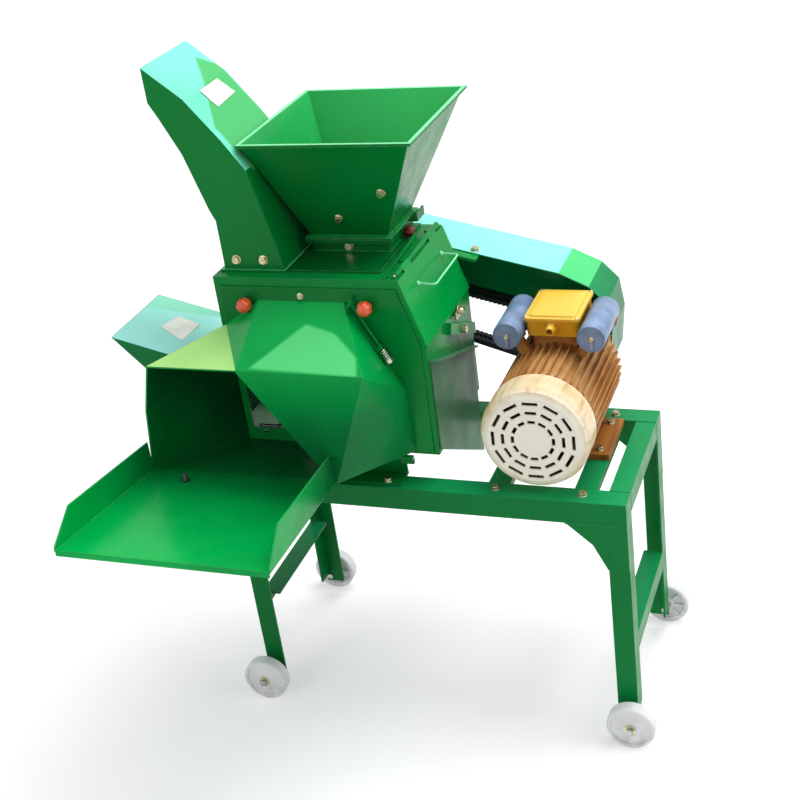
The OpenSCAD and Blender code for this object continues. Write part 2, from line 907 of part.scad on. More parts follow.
module cover_handle() {
    reach = handle_out / cos(handle_slant);
    place() color("mediumseagreen") on_shoulder() difference() {
        union() {
            for (y = handle_ys) translate([handle_s, y, 0]) rotate([0, handle_slant, 0]) {
                cylinder(h = reach, r = handle_r - 0.2, $fn = 24);
            }
            translate([handle_s + handle_out * tan(handle_slant), handle_ys[1] + handle_r, handle_out]) {
                rotate([90, 0, 0]) cylinder(h = handle_ys[1] - handle_ys[0] + 2 * handle_r, r = handle_r, $fn = 24);
            }
        }
        translate([0, handle_ys[0] - 20, -20]) cube([100, 200, 20 + seat_gap + sheet_t]);
    }
}

// Turn latch on the right wall: its nose turns up over the cover's lower edge
module cover_latch() {
    x = body_right + seat_gap;
    place() color("silver") {
        bar_x(latch_y, latch_z, body_right - sheet_t - 2, x + 1, bolt_r);
        bar_x(latch_y, latch_z, x, x + 4, 12, 64);
        box([x + 4, latch_y - 30, latch_z - 7], [x + 7, latch_y + 12, latch_z + 7]);
        bar_x(latch_y, latch_z, x + 7, x + 13, 6, 6);
    }
}

module hinge_pins() {
    place() color("silver") {
        bar_y(cover_hinge[0], cover_hinge[1], case_knuckles[0][0] - 1, case_knuckles[2][1] + 1, hinge_pin_r);
        bar_x(door_hinge[0], door_hinge[1], sill_knuckles[0][0] - 1, sill_knuckles[2][1] + 1, hinge_pin_r);
    }
}

// Door: the plate that carries the hood, with the throat where the feed meets the knives
throat_open = [[body_left + 25, frame_top + 82], [shaft_x - 25, frame_top + 282]];

module front_door() {
    place() sheet_paint() difference() {
        union() {
            plate_y(body_front, plate_front) polygon([
                [body_left + 10, door_bottom],
                [foot_right, door_bottom],
                [foot_right, step_z + 6],
                [body_right - 10, step_z + 6],
                [body_right - 10, body_low + 2],
                [shoulder_x - 3, body_top - 17],
                [body_left + 10, body_top - 17]
            ]);
            for (k = door_knuckles) door_knuckle(k);
        }
        plate_y(body_front - 1, plate_front + 1) {
            rect(throat_open[0][0], throat_open[0][1], throat_open[1][0], throat_open[1][1]);
        }
        for (k = sill_knuckles) box(
            [k[0] - 1, door_hinge[0], door_hinge[1] - 8],
            [k[1] + 1, plate_front + 1, door_hinge[1] + hinge_r + 1]
        );
        bar_x(door_hinge[0], door_hinge[1], body_left, body_right, hinge_pin_r + run_fit);
        for (x = knob_xs) bar_y(x, knob_z, body_front - 1, wall_front + 1, stud_r + run_fit);
        for (x = blade_bolt_xs) bar_y(x, blade_z, body_front - 1, plate_front + 1, bolt_hole, 24);
    }
}

// Hood outlines in X and Z: h shrinks them by the sheet, for the inside
hood_floor = frame_top + 54;
hood_top = frame_top + 275;
mouth_left = -455;
mouth_mid = -275;

module cone_front() {
    polygon([
        [mouth_mid, hood_top],
        [-35, hood_top - 2],
        [-110, frame_top + 82],
        [-115, hood_floor],
        [mouth_mid, hood_floor]
    ]);
}

module cone_rear() {
    polygon([
        [body_left + 10, frame_top + 300],
        [-274, body_top - 42],
        [-108, body_top - 42],
        [-60, body_low + 2],
        [-12, frame_top + 182],
        [-8, hood_floor],
        [body_left + 10, hood_floor]
    ]);
}

module mouth_front() {
    polygon([
        [mouth_left, hood_top],
        [mouth_mid, hood_top],
        [-118, hood_floor],
        [mouth_left - 38, hood_floor],
        [mouth_left - 24, frame_top + 180]
    ]);
}

module mouth_rear() {
    polygon([
        [body_left + 10, frame_top + 300],
        [mouth_mid, frame_top + 300],
        [-118, hood_floor],
        [body_left + 10, hood_floor]
    ]);
}

module hood_loft(y_low, y_high) {
    hull() {
        plate_y(y_low, y_low + 0.1) children(0);
        plate_y(y_high - 0.1, y_high) children(1);
    }
}

module feed_hood() {
    front = table_rear_y;
    rear = body_front;
    t = sheet_t;
    place() sheet_paint() difference() {
        union() {
            hood_loft(front, rear) {
                cone_front();
                cone_rear();
            }
            hood_loft(front, rear) {
                mouth_front();
                mouth_rear();
            }
        }
        hood_loft(front + t, rear + 1) {
            offset(delta = -t) cone_front();
            offset(delta = -t) cone_rear();
        }
        hood_loft(front - 0.1, rear + 1) {
            offset(delta = -t) mouth_front();
            offset(delta = -t) mouth_rear();
        }
    }
}

// Feed table, drawn flat with its rear edge on the X axis, then tilted up to the front
table_rear_w = 372;
table_mid = -306;
hole_r = 5;

module on_table() {
    translate([table_mid, table_rear_y, hood_floor]) rotate([-table_tilt, 0, 0]) children();
}

module table_plan() {
    polygon([
        [-table_rear_w / 2, -seat_gap],
        [table_rear_w / 2, -seat_gap],
        [table_w / 2, -table_d],
        [-table_w / 2, -table_d]
    ]);
}

// Side wall along one slanting edge, with its front corner cut off
module table_side() {
    flare = atan2((table_w - table_rear_w) / 2, table_d);
    edge = table_d / cos(flare);
    translate([table_rear_w / 2, 0, 0]) rotate([0, 0, flare - 90]) rotate([90, 0, 0]) linear_extrude(sheet_t) polygon([
        [1, 0],
        [edge - 1, 0],
        [edge - 1, 8],
        [edge - 58, table_wall],
        [1 + table_wall * tan(table_tilt), table_wall]
    ]);
}

module feed_table() {
    place() sheet_paint() {
        on_table() {
            difference() {
                linear_extrude(sheet_t) table_plan();
                translate([-95, -40, -1]) cylinder(h = 10, r = hole_r, $fn = 24);
            }
            table_side();
            mirror([1, 0, 0]) table_side();
            translate([-table_w / 2 + 2, -table_d, -table_lip]) cube([table_w - 4, sheet_t, table_lip]);
        }
        for (x = [-120, 120]) table_bearer(table_mid + x);
    }
}

// Flat bar under hood and table, bent to the table's tilt
module table_bearer(x) {
    reach = 150;
    t = 6;
    rise = reach * tan(table_tilt);
    translate([x + 15, 0, 0]) rotate([0, -90, 0]) linear_extrude(30) polygon([
        [hood_floor - seat_gap, body_front - 15],
        [hood_floor - seat_gap, table_rear_y - 0.1],
        [hood_floor + 1, table_rear_y - seat_gap - 0.2],
        [hood_floor + rise + 1, table_rear_y - reach],
        [hood_floor + rise - t, table_rear_y - reach],
        [hood_floor - t, table_rear_y],
        [hood_floor - t, body_front - 15]
    ]);
}

// Fixed blade on the inside of the door, along the lower edge of the throat
blade_z = throat_open[0][1] - 8;
blade_bolt_xs = [-310, -215];

module fixed_blade() {
    place() color("lightsteelblue") difference() {
        box(
            [throat_open[0][0] + 8, plate_front, blade_z - 6],
            [throat_open[1][0], plate_front + blade_t, blade_z + 12]
        );
        for (x = blade_bolt_xs) bar_y(x, blade_z, plate_front - 1, plate_front + blade_t + 1, bolt_hole, 24);
    }
}

// Captive screw knob of the door
module door_knob(x) {
    front = body_front - 1;
    place() color("orangered") {
        bar_y(x, knob_z, front, wall_front + 8, stud_r);
        translate([x, front, knob_z]) rotate([90, 0, 0]) rotate_extrude($fn = 64) polygon([
            [0, 0], [8, 0], [9, 4], [12, 7], [knob_r, 13], [knob_r, 18], [12, 24], [8, 28], [0, 29]
        ]);
    }
}

module left_door_knob() {
    door_knob(knob_xs[0]);
}

module right_door_knob() {
    door_knob(knob_xs[1]);
}

// Sprung stay rod along the hood's right edge: rod, coil and nut on the door plate
stay_high = [-94, body_top - 31];
stay_low = [-30, body_low - 27];
stay_len = norm(stay_high - stay_low);
stay_turn = atan2(stay_low[0] - stay_high[0], stay_high[1] - stay_low[1]);
stay_y = body_front - 11;
stay_r = 3;

module stay_rod() {
    place() color("silver") translate([stay_high[0], stay_y, stay_high[1]]) rotate([0, -stay_turn, 0]) mirror([0, 0, 1]) {
        cylinder(h = stay_len, r = stay_r, $fn = 24);
        translate([0, 0, stay_len - 8]) cylinder(h = 7, r = 7, $fn = 6);
        for (k = [0:4]) translate([0, 0, stay_len - 30 + k * 4.4]) difference() {
            cylinder(h = 3, r = 6.5, $fn = 24);
            translate([0, 0, -1]) cylinder(h = 5, r = stay_r - 0.5, $fn = 24);
        }
        for (s = [6, stay_len - 38]) translate([-4, -5, s]) cube([8, 16, 6]);
    }
}

// Rotor
module main_shaft() {
    place() color("silver") {
        bar_y(shaft_x, shaft_z, plate_front + 11, pulley_y - 4, shaft_r, 64);
        bar_y(shaft_x, shaft_z, pulley_y - 4, pulley_y + pulley_w + 4, pulley_bore_r, 64);
    }
}

function on_pin(a, r) = [shaft_x + r * cos(a), shaft_z + r * sin(a)];

module rotor_discs() {
    place() color("dimgray") difference() {
        union() {
            bar_y(shaft_x, shaft_z, front_disc_y, front_disc_y + disc_t, disc_r, 96);
            bar_y(shaft_x, shaft_z, rear_disc_y, rear_disc_y + disc_t, disc_r, 96);
            bar_y(shaft_x, shaft_z, front_disc_y, rear_disc_y, hub_r, 64);
        }
        bar_y(shaft_x, shaft_z, front_disc_y - 1, rear_disc_y + disc_t + 1, shaft_r + run_fit, 64);
        for (a = pin_angles) {
            p = on_pin(a, pin_circle);
            bar_y(p[0], p[1], front_disc_y - 1, rear_disc_y + disc_t + 1, pin_r + run_fit);
        }
        for (k = [0:knife_count - 1], r = knife_bolt_rs) {
            p = on_pin(k * 360 / knife_count, r);
            bar_y(p[0], p[1], front_disc_y - 1, front_disc_y + disc_t + 1, bolt_hole, 24);
        }
    }
}

knife_bolt_rs = [55, 95];
knife_w = 40;

module knives() {
    place() color("lightsteelblue") for (k = [0:knife_count - 1]) {
        translate([shaft_x, 0, shaft_z]) rotate([0, -k * 360 / knife_count, 0]) difference() {
            plate_y(knife_front, knife_front + knife_t) polygon([
                [38, -knife_w / 2],
                [knife_reach - 3, -knife_w / 2],
                [knife_reach - 3, knife_w / 2 - 6],
                [38, knife_w / 2]
            ]);
            for (r = knife_bolt_rs) {
                bar_y(r, 0, knife_front - 1, knife_front + knife_t + 1, bolt_hole, 24);
                bar_y(r, 0, knife_front - 1, knife_front + 5, head_r + 1, 24);
            }
        }
    }
}

hammer_pitch = (rear_disc_y - front_disc_y - disc_t) / hammer_count;

function hammer_y(k) = front_disc_y + disc_t + (k + 0.5) * hammer_pitch;

// Hammer pins: heads at both ends and a spacer collar between each two hammers
module hammer_pins() {
    half = hammer_t / 2 + 0.4;
    place() color("silver") for (a = pin_angles) {
        p = on_pin(a, pin_circle);
        bar_y(p[0], p[1], front_disc_y - 3, rear_disc_y + disc_t + 4, pin_r);
        bar_y(p[0], p[1], rear_disc_y + disc_t + 0.3, rear_disc_y + disc_t + 4, pin_r + 3);
        bar_y(p[0], p[1], front_disc_y - 4, front_disc_y - 0.3, pin_r + 3);
        bar_y(p[0], p[1], front_disc_y + disc_t + 0.3, hammer_y(0) - half, pin_r + 4);
        for (k = [0:hammer_count - 2]) bar_y(p[0], p[1], hammer_y(k) + half, hammer_y(k + 1) - half, pin_r + 4);
        bar_y(p[0], p[1], hammer_y(hammer_count - 1) + half, rear_disc_y - 0.3, pin_r + 4);
    }
}

// Hammers hang straight down from their pin while the rotor stands still
module hammer_pack(index) {
    p = on_pin(pin_angles[index], pin_circle);
    place() color("gray") translate([p[0], 0, p[1]]) rotate([0, 90, 0]) for (k = [0:hammer_count - 1]) {
        difference() {
            plate_y(hammer_y(k) - hammer_t / 2, hammer_y(k) + hammer_t / 2) {
                translate([-14, -hammer_w / 2]) square([hammer_len - 6, hammer_w]);
            }
            bar_y(0, 0, hammer_y(k) - hammer_t, hammer_y(k) + hammer_t, pin_r + 0.09);
        }
    }
}

module hammers_a() {
    hammer_pack(0);
}

module hammers_b() {
    hammer_pack(1);
}

module hammers_c() {
    hammer_pack(2);
}

module fan_paddles() {
    base = rear_disc_y + disc_t;
    place() color("gray") for (k = [0:2]) translate([shaft_x, 0, shaft_z]) rotate([0, -k * 120, 0]) {
        box([shaft_r + 12, base, -3], [knife_reach - 5, base + 44, 3]);
        box([shaft_r + 22, base, 3], [knife_reach - 40, base + 4, 24]);
    }
}

// Pulleys with two V-grooves; the groove fits the belt with a small gap all round
belt_half = [5.9, 7.0, 8.2];
belt_low = [11, 7.5, 3.8];
belt_crown = 1;
groove_gap = 0.5;

module groove(r) {
    polygon([
        [r - 11.5, -6.5],
        [r + 1, -6.5 - 12.5 * 0.27],
        [r + 1, 6.5 + 12.5 * 0.27],
        [r - 11.5, 6.5]
    ]);
}

module pulley(x, z, r) {
    translate([x, pulley_y + pulley_w / 2, z]) rotate([90, 0, 0]) rotate_extrude($fn = 128) difference() {
        translate([pulley_bore_r + run_fit, -pulley_w / 2]) square([r - pulley_bore_r - run_fit, pulley_w]);
        for (s = [-1, 1]) translate([0, s * belt_pitch / 2]) groove(r);
    }
}

module driven_pulley() {
    place() color("dimgray") pulley(shaft_x, shaft_z, driven_r);
}

module motor_pulley() {
    place() color("dimgray") pulley(motor_x, motor_z, motor_pulley_r);
}

// Belt loop in X and Z: an arc round each pulley, joined by the straight runs
arc_steps = 36;

function arc(x, z, r, start, end) = [
    for (k = [0:arc_steps]) let (a = start + (end - start) * k / arc_steps) [x + r * cos(a), z + r * sin(a)]
];

function loop_line(ra, rb) =
    let (run = [motor_x - shaft_x, motor_z - shaft_z])
    let (lean = atan2(run[1], run[0]))
    let (open = acos((ra - rb) / norm(run)))
    concat(
        arc(shaft_x, shaft_z, ra, lean + open, lean + 360 - open),
        arc(motor_x, motor_z, rb, lean - open, lean + open)
    );

module belt_layer(half, low) {
    plate_y(-half, half) difference() {
        polygon(loop_line(driven_r + belt_crown, motor_pulley_r + belt_crown));
        polygon(loop_line(driven_r + belt_crown - low, motor_pulley_r + belt_crown - low));
    }
}

module v_belts() {
    middle = pulley_y + pulley_w / 2;
    place() color("black") for (s = [-1, 1]) translate([0, middle + s * belt_pitch / 2, 0]) {
        for (k = [0:2]) belt_layer(belt_half[k], belt_low[k]);
    }
}

// Bearing housing bolted to the casing's back plate
housing_flange_t = 12;
housing_end = pulley_y - 5;
bearing_r = 36;
bearing_w = 17;
bearing_ys = [body_back - 3, housing_end - 3 - bearing_w];

module bearing_housing() {
    place() color([0.02, 0.42, 0.20]) difference() {
        union() {
            bar_y(shaft_x, shaft_z, body_back, body_back + housing_flange_t, housing_flange_r, 96);
            bar_y(shaft_x, shaft_z, body_back, housing_end, housing_r, 96);
            bar_y(shaft_x, shaft_z, wall_back - 3, body_back, spigot_r, 96);
        }
        bar_y(shaft_x, shaft_z, wall_back - 4, housing_end + 1, shaft_r + 1, 64);
        bar_y(shaft_x, shaft_z, bearing_ys[0], housing_end - 3, bearing_r - 5, 64);
        for (y = bearing_ys) bar_y(shaft_x, shaft_z, y, y + bearing_w, bearing_r + run_fit, 96);
        for (a = housing_bolts) housing_bolt_hole(a, body_back - 1, body_back + housing_flange_t + 1);
    }
}

module ring_y(x, z, y, w, r_in, r_out, fn = 96) {
    difference() {
        bar_y(x, z, y, y + w, r_out, fn);
        bar_y(x, z, y - 1, y + w + 1, r_in, fn);
    }
}

// Two bearings: inner and outer rings, joined by the ring that the balls run in
module shaft_bearings() {
    place() color("gainsboro") for (y = bearing_ys) {
        ring_y(shaft_x, shaft_z, y, bearing_w, shaft_r + run_fit, 23);
        ring_y(shaft_x, shaft_z, y, bearing_w, 31, bearing_r);
        ring_y(shaft_x, shaft_z, y + bearing_w / 2 - 2, 4, 22, 32);
    }
}

// Belt guard: a strip bent over both pulleys and a side plate on its far side
function guard_line(d) = [
    [-238 + d, frame_top + 205],
    [-236 + d, frame_top + 290],
    [-210 + d * 0.7, frame_top + 352 - d * 0.7],
    [-165 + d * 0.2, guard_top(-165) - d],
    [208 + d * 0.1, guard_top(208) - d],
    [264 - d * 0.4, frame_top + 262 - d],
    [296 - d * 0.8, frame_top + 228 - d * 0.6],
    [304 - d, frame_top + 172],
    [296 - d, frame_top + 96]
];

module belt_guard() {
    line = guard_line(0);
    inner = guard_line(guard_t);
    place() sheet_paint() difference() {
        union() {
            plate_y(guard_y, guard_y + guard_w) polygon(concat(line, [for (k = [8:-1:0]) inner[k]]));
            plate_y(guard_y + guard_w - guard_t, guard_y + guard_w) polygon(concat(line, [[60, frame_top + 172]]));
        }
        for (x = guard_bolt_xs) translate([x, guard_bolt_y, guard_top(x)]) rotate([0, guard_turn, 0]) {
            translate([0, 0, -20]) cylinder(h = 40, r = bolt_hole, $fn = 24);
        }
    }
}

// Motor: ribbed frame with feet, a pad for the junction box and cradles for the capacitors
rib_count = 40;
frame_core_r = motor_r - 10;

module motor_frame() {
    place() color([0.66, 0.45, 0.18]) translate([motor_x, 0, motor_z]) difference() {
        union() {
            bar_y(0, 0, motor_front, motor_back, frame_core_r, 96);
            for (k = [0:rib_count - 1]) rotate([0, k * 360 / rib_count, 0]) {
                box([frame_core_r - 2, motor_front + 6, -1.5], [motor_r, motor_back - 6, 1.5]);
            }
            for (s = [-1, 1]) {
                box([s * foot_x - 22, foot_ys[0] - 18, -motor_h], [s * foot_x + 22, foot_ys[1] + 18, -motor_h + 12]);
                for (y = foot_ys) box([s * 62 - 7, y - 6, -motor_h + 6], [s * 62 + 7, y + 6, -55]);
                for (y = cradle_ys) cradle(s, y);
            }
            box([-box_w / 2 + 12, box_y + 14, 60], [box_w / 2 - 12, box_y + box_d - 10, box_z - motor_z]);
        }
        bar_y(0, 0, motor_front - 1, motor_back + 1, stator_r + run_fit, 96);
        for (s = [-1, 1], y = foot_ys) translate([s * foot_x, y, -motor_h - 1]) cylinder(h = 20, r = bolt_hole, $fn = 24);
    }
}

cradle_ys = [22, 96];

// Cradle: a saddle under the capacitor, carried by a web from the motor frame
saddle_drop = 10;

module cradle(s, y) {
    centre = [s * capacitor_x, capacitor_z];
    difference() {
        union() {
            bar_y(centre[0], centre[1], y, y + 18, capacitor_r + 3, 64);
            rotate([0, -atan2(capacitor_z, s * capacitor_x), 0]) {
                box([frame_core_r - 2, y + 1, -9], [norm(centre) - capacitor_r - 0.5, y + 17, 9]);
            }
        }
        bar_y(centre[0], centre[1], y - 1, y + 19, capacitor_r + run_fit, 64);
        box(
            [centre[0] - 2 * capacitor_r, y - 1, centre[1] - saddle_drop],
            [centre[0] + 2 * capacitor_r, y + 19, centre[1] + 2 * capacitor_r]
        );
    }
}

// Laminated core with its end windings, pressed into the motor frame
module stator() {
    place() color([0.55, 0.30, 0.12]) translate([motor_x, 0, motor_z]) {
        ring_y(0, 0, -30, 130, 52.2, stator_r);
        ring_y(0, 0, -52, 22, 56, 76);
        ring_y(0, 0, 100, 22, 56, 76);
    }
}

module end_bells() {
    place() color([0.60, 0.42, 0.18]) translate([motor_x, 0, motor_z]) {
        difference() {
            union() {
                bar_y(0, 0, motor_back, motor_back + 10, frame_core_r, 96);
                bar_y(0, 0, motor_back + 10, motor_back + 18, 52, 96);
                bar_y(0, 0, motor_back + 18, motor_back + 24, 34, 96);
            }
            bar_y(0, 0, motor_back - 1, motor_back + 30, motor_shaft_r + run_fit, 64);
        }
        difference() {
            union() {
                bar_y(0, 0, motor_front - 10, motor_front, cover_r - cover_t - seat_gap, 96);
                bar_y(0, 0, motor_front - 20, motor_front - 10, 46, 96);
            }
            bar_y(0, 0, motor_front - 30, motor_front + 1, motor_shaft_r + run_fit, 64);
        }
    }
}

cover_t = 3;

// Fan cover: a rounded cup with rings of air slots in its end
module fan_cover() {
    t = cover_t;
    end = cover_front;
    back = motor_front - 1;
    place() color([0.93, 0.89, 0.78]) translate([motor_x, 0, motor_z]) difference() {
        rotate([90, 0, 0]) rotate_extrude($fn = 96) polygon([
            [0, -end],
            [cover_r - 16, -end],
            [cover_r - 5, -end - 5],
            [cover_r, -end - 16],
            [cover_r, -back],
            [cover_r - t, -back],
            [cover_r - t, -end - 17],
            [cover_r - 7, -end - 7],
            [cover_r - 17, -end - t],
            [0, -end - t]
        ]);
        for (k = [0:11], r = [34, 52, 70]) rotate([0, k * 30, 0]) translate([r, end + t + 1, 0]) {
            rotate([90, 0, 0]) translate([0, -r * 0.2, 0]) linear_extrude(t + 2) square([6, r * 0.4]);
        }
    }
}

module cooling_fan() {
    place() color("black") translate([motor_x, 0, motor_z]) difference() {
        union() {
            bar_y(0, 0, -136, -112, 24, 64);
            bar_y(0, 0, -116, -112, 60, 64);
            for (k = [0:7]) rotate([0, k * 45, 0]) box([20, -138, -1.5], [84, -112, 1.5]);
        }
        bar_y(0, 0, -140, -110, motor_shaft_r + run_fit, 64);
    }
}

module motor_shaft() {
    place() color("silver") translate([motor_x, 0, motor_z]) {
        bar_y(0, 0, -137, pulley_y + pulley_w + 4, motor_shaft_r, 64);
        bar_y(0, 0, -28, 98, rotor_core_r, 96);
    }
}

gland_x = motor_x;
gland_z = box_z + box_h - 13;

module junction_box() {
    wall = 3;
    x0 = motor_x - box_w / 2;
    place() color("goldenrod") difference() {
        union() {
            box([x0 + 4, box_y, box_z], [x0 + box_w - 4, box_y + box_d, box_z + box_h]);
            bar_y(gland_x, gland_z, box_y - 8, box_y, 11, 6);
            bar_y(gland_x, gland_z, box_y - 20, box_y - 8, 9, 48);
        }
        box([x0 + 4 + wall, box_y + wall, box_z + wall], [x0 + box_w - 4 - wall, box_y + box_d - wall, box_z + box_h + 1]);
        bar_y(gland_x, gland_z, box_y - 21, box_y + wall + 1, gland_bore, 48);
    }
}

module junction_lid() {
    x0 = motor_x - box_w / 2;
    z = box_z + box_h;
    place() color("gold") {
        box([x0, box_y - 4, z], [x0 + box_w, box_y + box_d + 4, z + 6]);
        box([x0 + 8, box_y + 4, z + 6], [x0 + box_w - 8, box_y + box_d - 4, z + 9]);
        for (x = [x0 + 5, x0 + box_w - 5], y = [box_y + 1, box_y + box_d - 1]) {
            translate([x, y, z + 6]) cylinder(h = 2, r = 3, $fn = 24);
        }
    }
}

module capacitors() {
    place() color([0.45, 0.52, 0.68]) for (s = [-1, 1]) {
        x = motor_x + s * capacitor_x;
        z = motor_z + capacitor_z;
        bar_y(x, z, 0, capacitor_len, capacitor_r, 64);
        bar_y(x, z, -5, 0, 4, 24);
        translate([x - 3, -2, z - 22]) cube([6, 2, 14]);
    }
}

module bolts() {
    place() color("gainsboro") {
        for (x = chute_bolt_xs) bolt_front(x, tall_y, chute_bolt_z, 12);
        for (b = hopper_bolts) on_hopper_front(b) translate([0, 0, 0.4]) bolt(8);
        bolt_front(-134, throat_y, body_top + 14, 6);
        for (x = foot_bolt_xs, s = [-1, 1]) bolt_top(x, s * foot_bolt_y, frame_top + flange_t, 14);
        for (x = [motor_x - foot_x, motor_x + foot_x], s = [-1, 1]) {
            bolt_top(x, s * (frame_y - 25), frame_top, 14);
        }
        for (x = [motor_x - foot_x, motor_x + foot_x], y = foot_ys) {
            bolt_top(x, y, frame_top - iron_t + 12, 22);
        }
        bolt_right(body_right + 9, bracket_bolt[0], bracket_bolt[1], 16);
        for (a = housing_bolts) {
            p = [shaft_x + housing_bolt_r * cos(a), shaft_z + housing_bolt_r * sin(a)];
            bolt_back(p[0], body_back + housing_flange_t, p[1], 18);
        }
        for (x = guard_bolt_xs) translate([x, guard_bolt_y, guard_top(x)]) rotate([0, guard_turn, 0]) {
            bolt(12);
        }
    }
}

front_rail();
back_rail();
end_rails();
legs();
lower_stretchers();
motor_bearers();
stub_axles();
axle_fasteners();
front_left_wheel();
front_right_wheel();
back_left_wheel();
back_right_wheel();
casing_front();
casing_back();
casing_left();
casing_right();
casing_top();
screen();
side_panel();
tall_chute();
side_chute();
hopper();
hopper_neck();
gate_plate();
gate_knob();
shoulder_cover();
cover_handle();
cover_latch();
hinge_pins();
front_door();
feed_hood();
feed_table();
fixed_blade();
left_door_knob();
right_door_knob();
stay_rod();
main_shaft();
rotor_discs();
knives();
hammer_pins();
hammers_a();
hammers_b();
hammers_c();
fan_paddles();
driven_pulley();
bearing_housing();
shaft_bearings();
v_belts();
belt_guard();
motor_pulley();
motor_frame();
stator();
end_bells();
fan_cover();
cooling_fan();
motor_shaft();
junction_box();
junction_lid();
capacitors();
bolts();
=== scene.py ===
"""Looks of the feed cutter: a chaff cutter and grain crusher in green enamelled sheet steel on a
wheeled angle-iron frame. Lengths in metres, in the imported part's own frame."""
import math

import bmesh
import bpy
import numpy as np
from mathutils import Matrix, Vector


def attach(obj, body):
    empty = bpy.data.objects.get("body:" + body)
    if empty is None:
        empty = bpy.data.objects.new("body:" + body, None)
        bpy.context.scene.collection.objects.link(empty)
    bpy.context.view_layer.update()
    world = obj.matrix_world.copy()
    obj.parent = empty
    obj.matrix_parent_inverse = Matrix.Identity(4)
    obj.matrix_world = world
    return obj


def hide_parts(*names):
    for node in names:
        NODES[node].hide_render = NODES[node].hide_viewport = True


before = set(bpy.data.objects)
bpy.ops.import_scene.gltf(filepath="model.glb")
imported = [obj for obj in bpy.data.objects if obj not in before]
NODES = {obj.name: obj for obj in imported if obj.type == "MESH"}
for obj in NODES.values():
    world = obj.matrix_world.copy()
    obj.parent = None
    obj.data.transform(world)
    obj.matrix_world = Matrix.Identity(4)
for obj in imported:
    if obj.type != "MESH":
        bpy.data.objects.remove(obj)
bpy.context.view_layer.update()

MM = 0.001
MIDDLE_X, MIDDLE_Y = 0.1045, 0.141747
X_AXIS, Y_AXIS, Z_AXIS = np.eye(3)


def at(x, y, z):
    """A point given in millimetres from the middle of the four wheels, as metres in the part's frame."""
    return np.array([x / 1000 + MIDDLE_X, y / 1000 + MIDDLE_Y, z / 1000])


# Places that several pieces share, in millimetres as at() takes them
WHEEL_X, WHEEL_Y, WHEEL_Z = 378, 195, 46
SHAFT_X, SHAFT_Z = -165, 740
MOTOR_X, MOTOR_Z = 224, 626
MOTOR = at(MOTOR_X, 0, MOTOR_Z)


# Camera and light

def place_camera():
    """Camera at the photograph's place: aimed by azimuth and elevation, then rolled about its own axis."""
    azimuth, elevation, roll = (math.radians(a) for a in (23.10, 27.84, -8.19))
    forward = Vector((
        -math.sin(azimuth) * math.cos(elevation),
        math.cos(azimuth) * math.cos(elevation),
        -math.sin(elevation),
    ))
    right = forward.cross(Vector((0, 0, 1))).normalized()
    up = right.cross(forward)
    x = right * math.cos(roll) + up * math.sin(roll)
    y = up * math.cos(roll) - right * math.sin(roll)
    data = bpy.data.cameras.new("camera")
    data.lens = 62.94
    data.sensor_width = 36.0
    camera = bpy.data.objects.new("camera", data)
    bpy.context.scene.collection.objects.link(camera)
    camera.matrix_world = Matrix((
        (x[0], y[0], -forward[0], 0.9550),
        (x[1], y[1], -forward[1], -2.0360),
        (x[2], y[2], -forward[2], 1.8585),
        (0, 0, 0, 1),
    ))
    bpy.context.scene.camera = camera


def softbox(name, place, target, width, power, tint=(1, 1, 1)):
    """Square area lamp at place, aimed at target."""
    data = bpy.data.lights.new(name, "AREA")
    data.shape = "SQUARE"
    data.size = width
    data.energy = power
    data.color = tint
    lamp = bpy.data.objects.new(name, data)
    bpy.context.scene.collection.objects.link(lamp)
    lamp.location = place
    lamp.rotation_euler = (Vector(target) - Vector(place)).to_track_quat("-Z", "Y").to_euler()


place_camera()
softbox("top_softbox", (0.7, 0.9, 3.4), (0, 0, 0.6), 2.4, 84)
softbox("side_softbox", (3.0, 0.3, 1.9), (0, 0, 0.7), 1.6, 26)
softbox("front_fill", (-1.6, -3.0, 1.7), (0, 0, 0.6), 2.0, 22)


# Nodes and finishes

def add(tree, kind, inputs=None, **settings):
    """Adds a node, sets its settings, and gives each named or numbered input a value or a link."""
    made = tree.nodes.new(kind)
    for key, value in settings.items():
        setattr(made, key, value)
    for key, value in (inputs or {}).items():
        if isinstance(value, bpy.types.NodeSocket):
            tree.links.new(value, made.inputs[key])
        else:
            made.inputs[key].default_value = value
    return made


def rgb(red, green, blue):
    """Linear colour, with alpha, from screen values of 0 to 255."""
    linear = []
    for value in (red, green, blue):
        v = value / 255
        linear.append(v / 12.92 if v <= 0.04045 else ((v + 0.055) / 1.055) ** 2.4)
    return (*linear, 1.0)


def new_finish(name):
    """A new material's node tree and shader, and the point on the piece that its patterns read."""
    material = bpy.data.materials.new(name)
    material.use_nodes = True
    tree = material.node_tree
    shader = tree.nodes["Principled BSDF"]
    point = tree.nodes.new("ShaderNodeTexCoord").outputs["Object"]
    return tree, shader, point


def stretched(tree, point, scale, turn=(0, 0, 0)):
    """The point on the piece after a turn and a stretch, for streaks and brush marks."""
    return add(tree, "ShaderNodeMapping", {"Vector": point, "Scale": scale, "Rotation": turn}).outputs[0]


def noise(tree, point, scale, detail=3.0, rough=0.5):
    """Soft cloudy value from 0 to 1, with that many cycles to the metre."""
    return add(
        tree, "ShaderNodeTexNoise", {"Vector": point, "Scale": scale, "Detail": detail, "Roughness": rough}
    ).outputs["Fac"]


def spread(tree, value, low, high, to_low=0.0, to_high=1.0):
    """Maps a value from one range to another and keeps it inside: smoothly to 0 and 1, else evenly."""
    curve = "SMOOTHSTEP" if (to_low, to_high) == (0.0, 1.0) else "LINEAR"
    return add(
        tree, "ShaderNodeMapRange",
        {"Value": value, "From Min": low, "From Max": high, "To Min": to_low, "To Max": to_high},
        clamp=True, interpolation_type=curve,
    ).outputs[0]


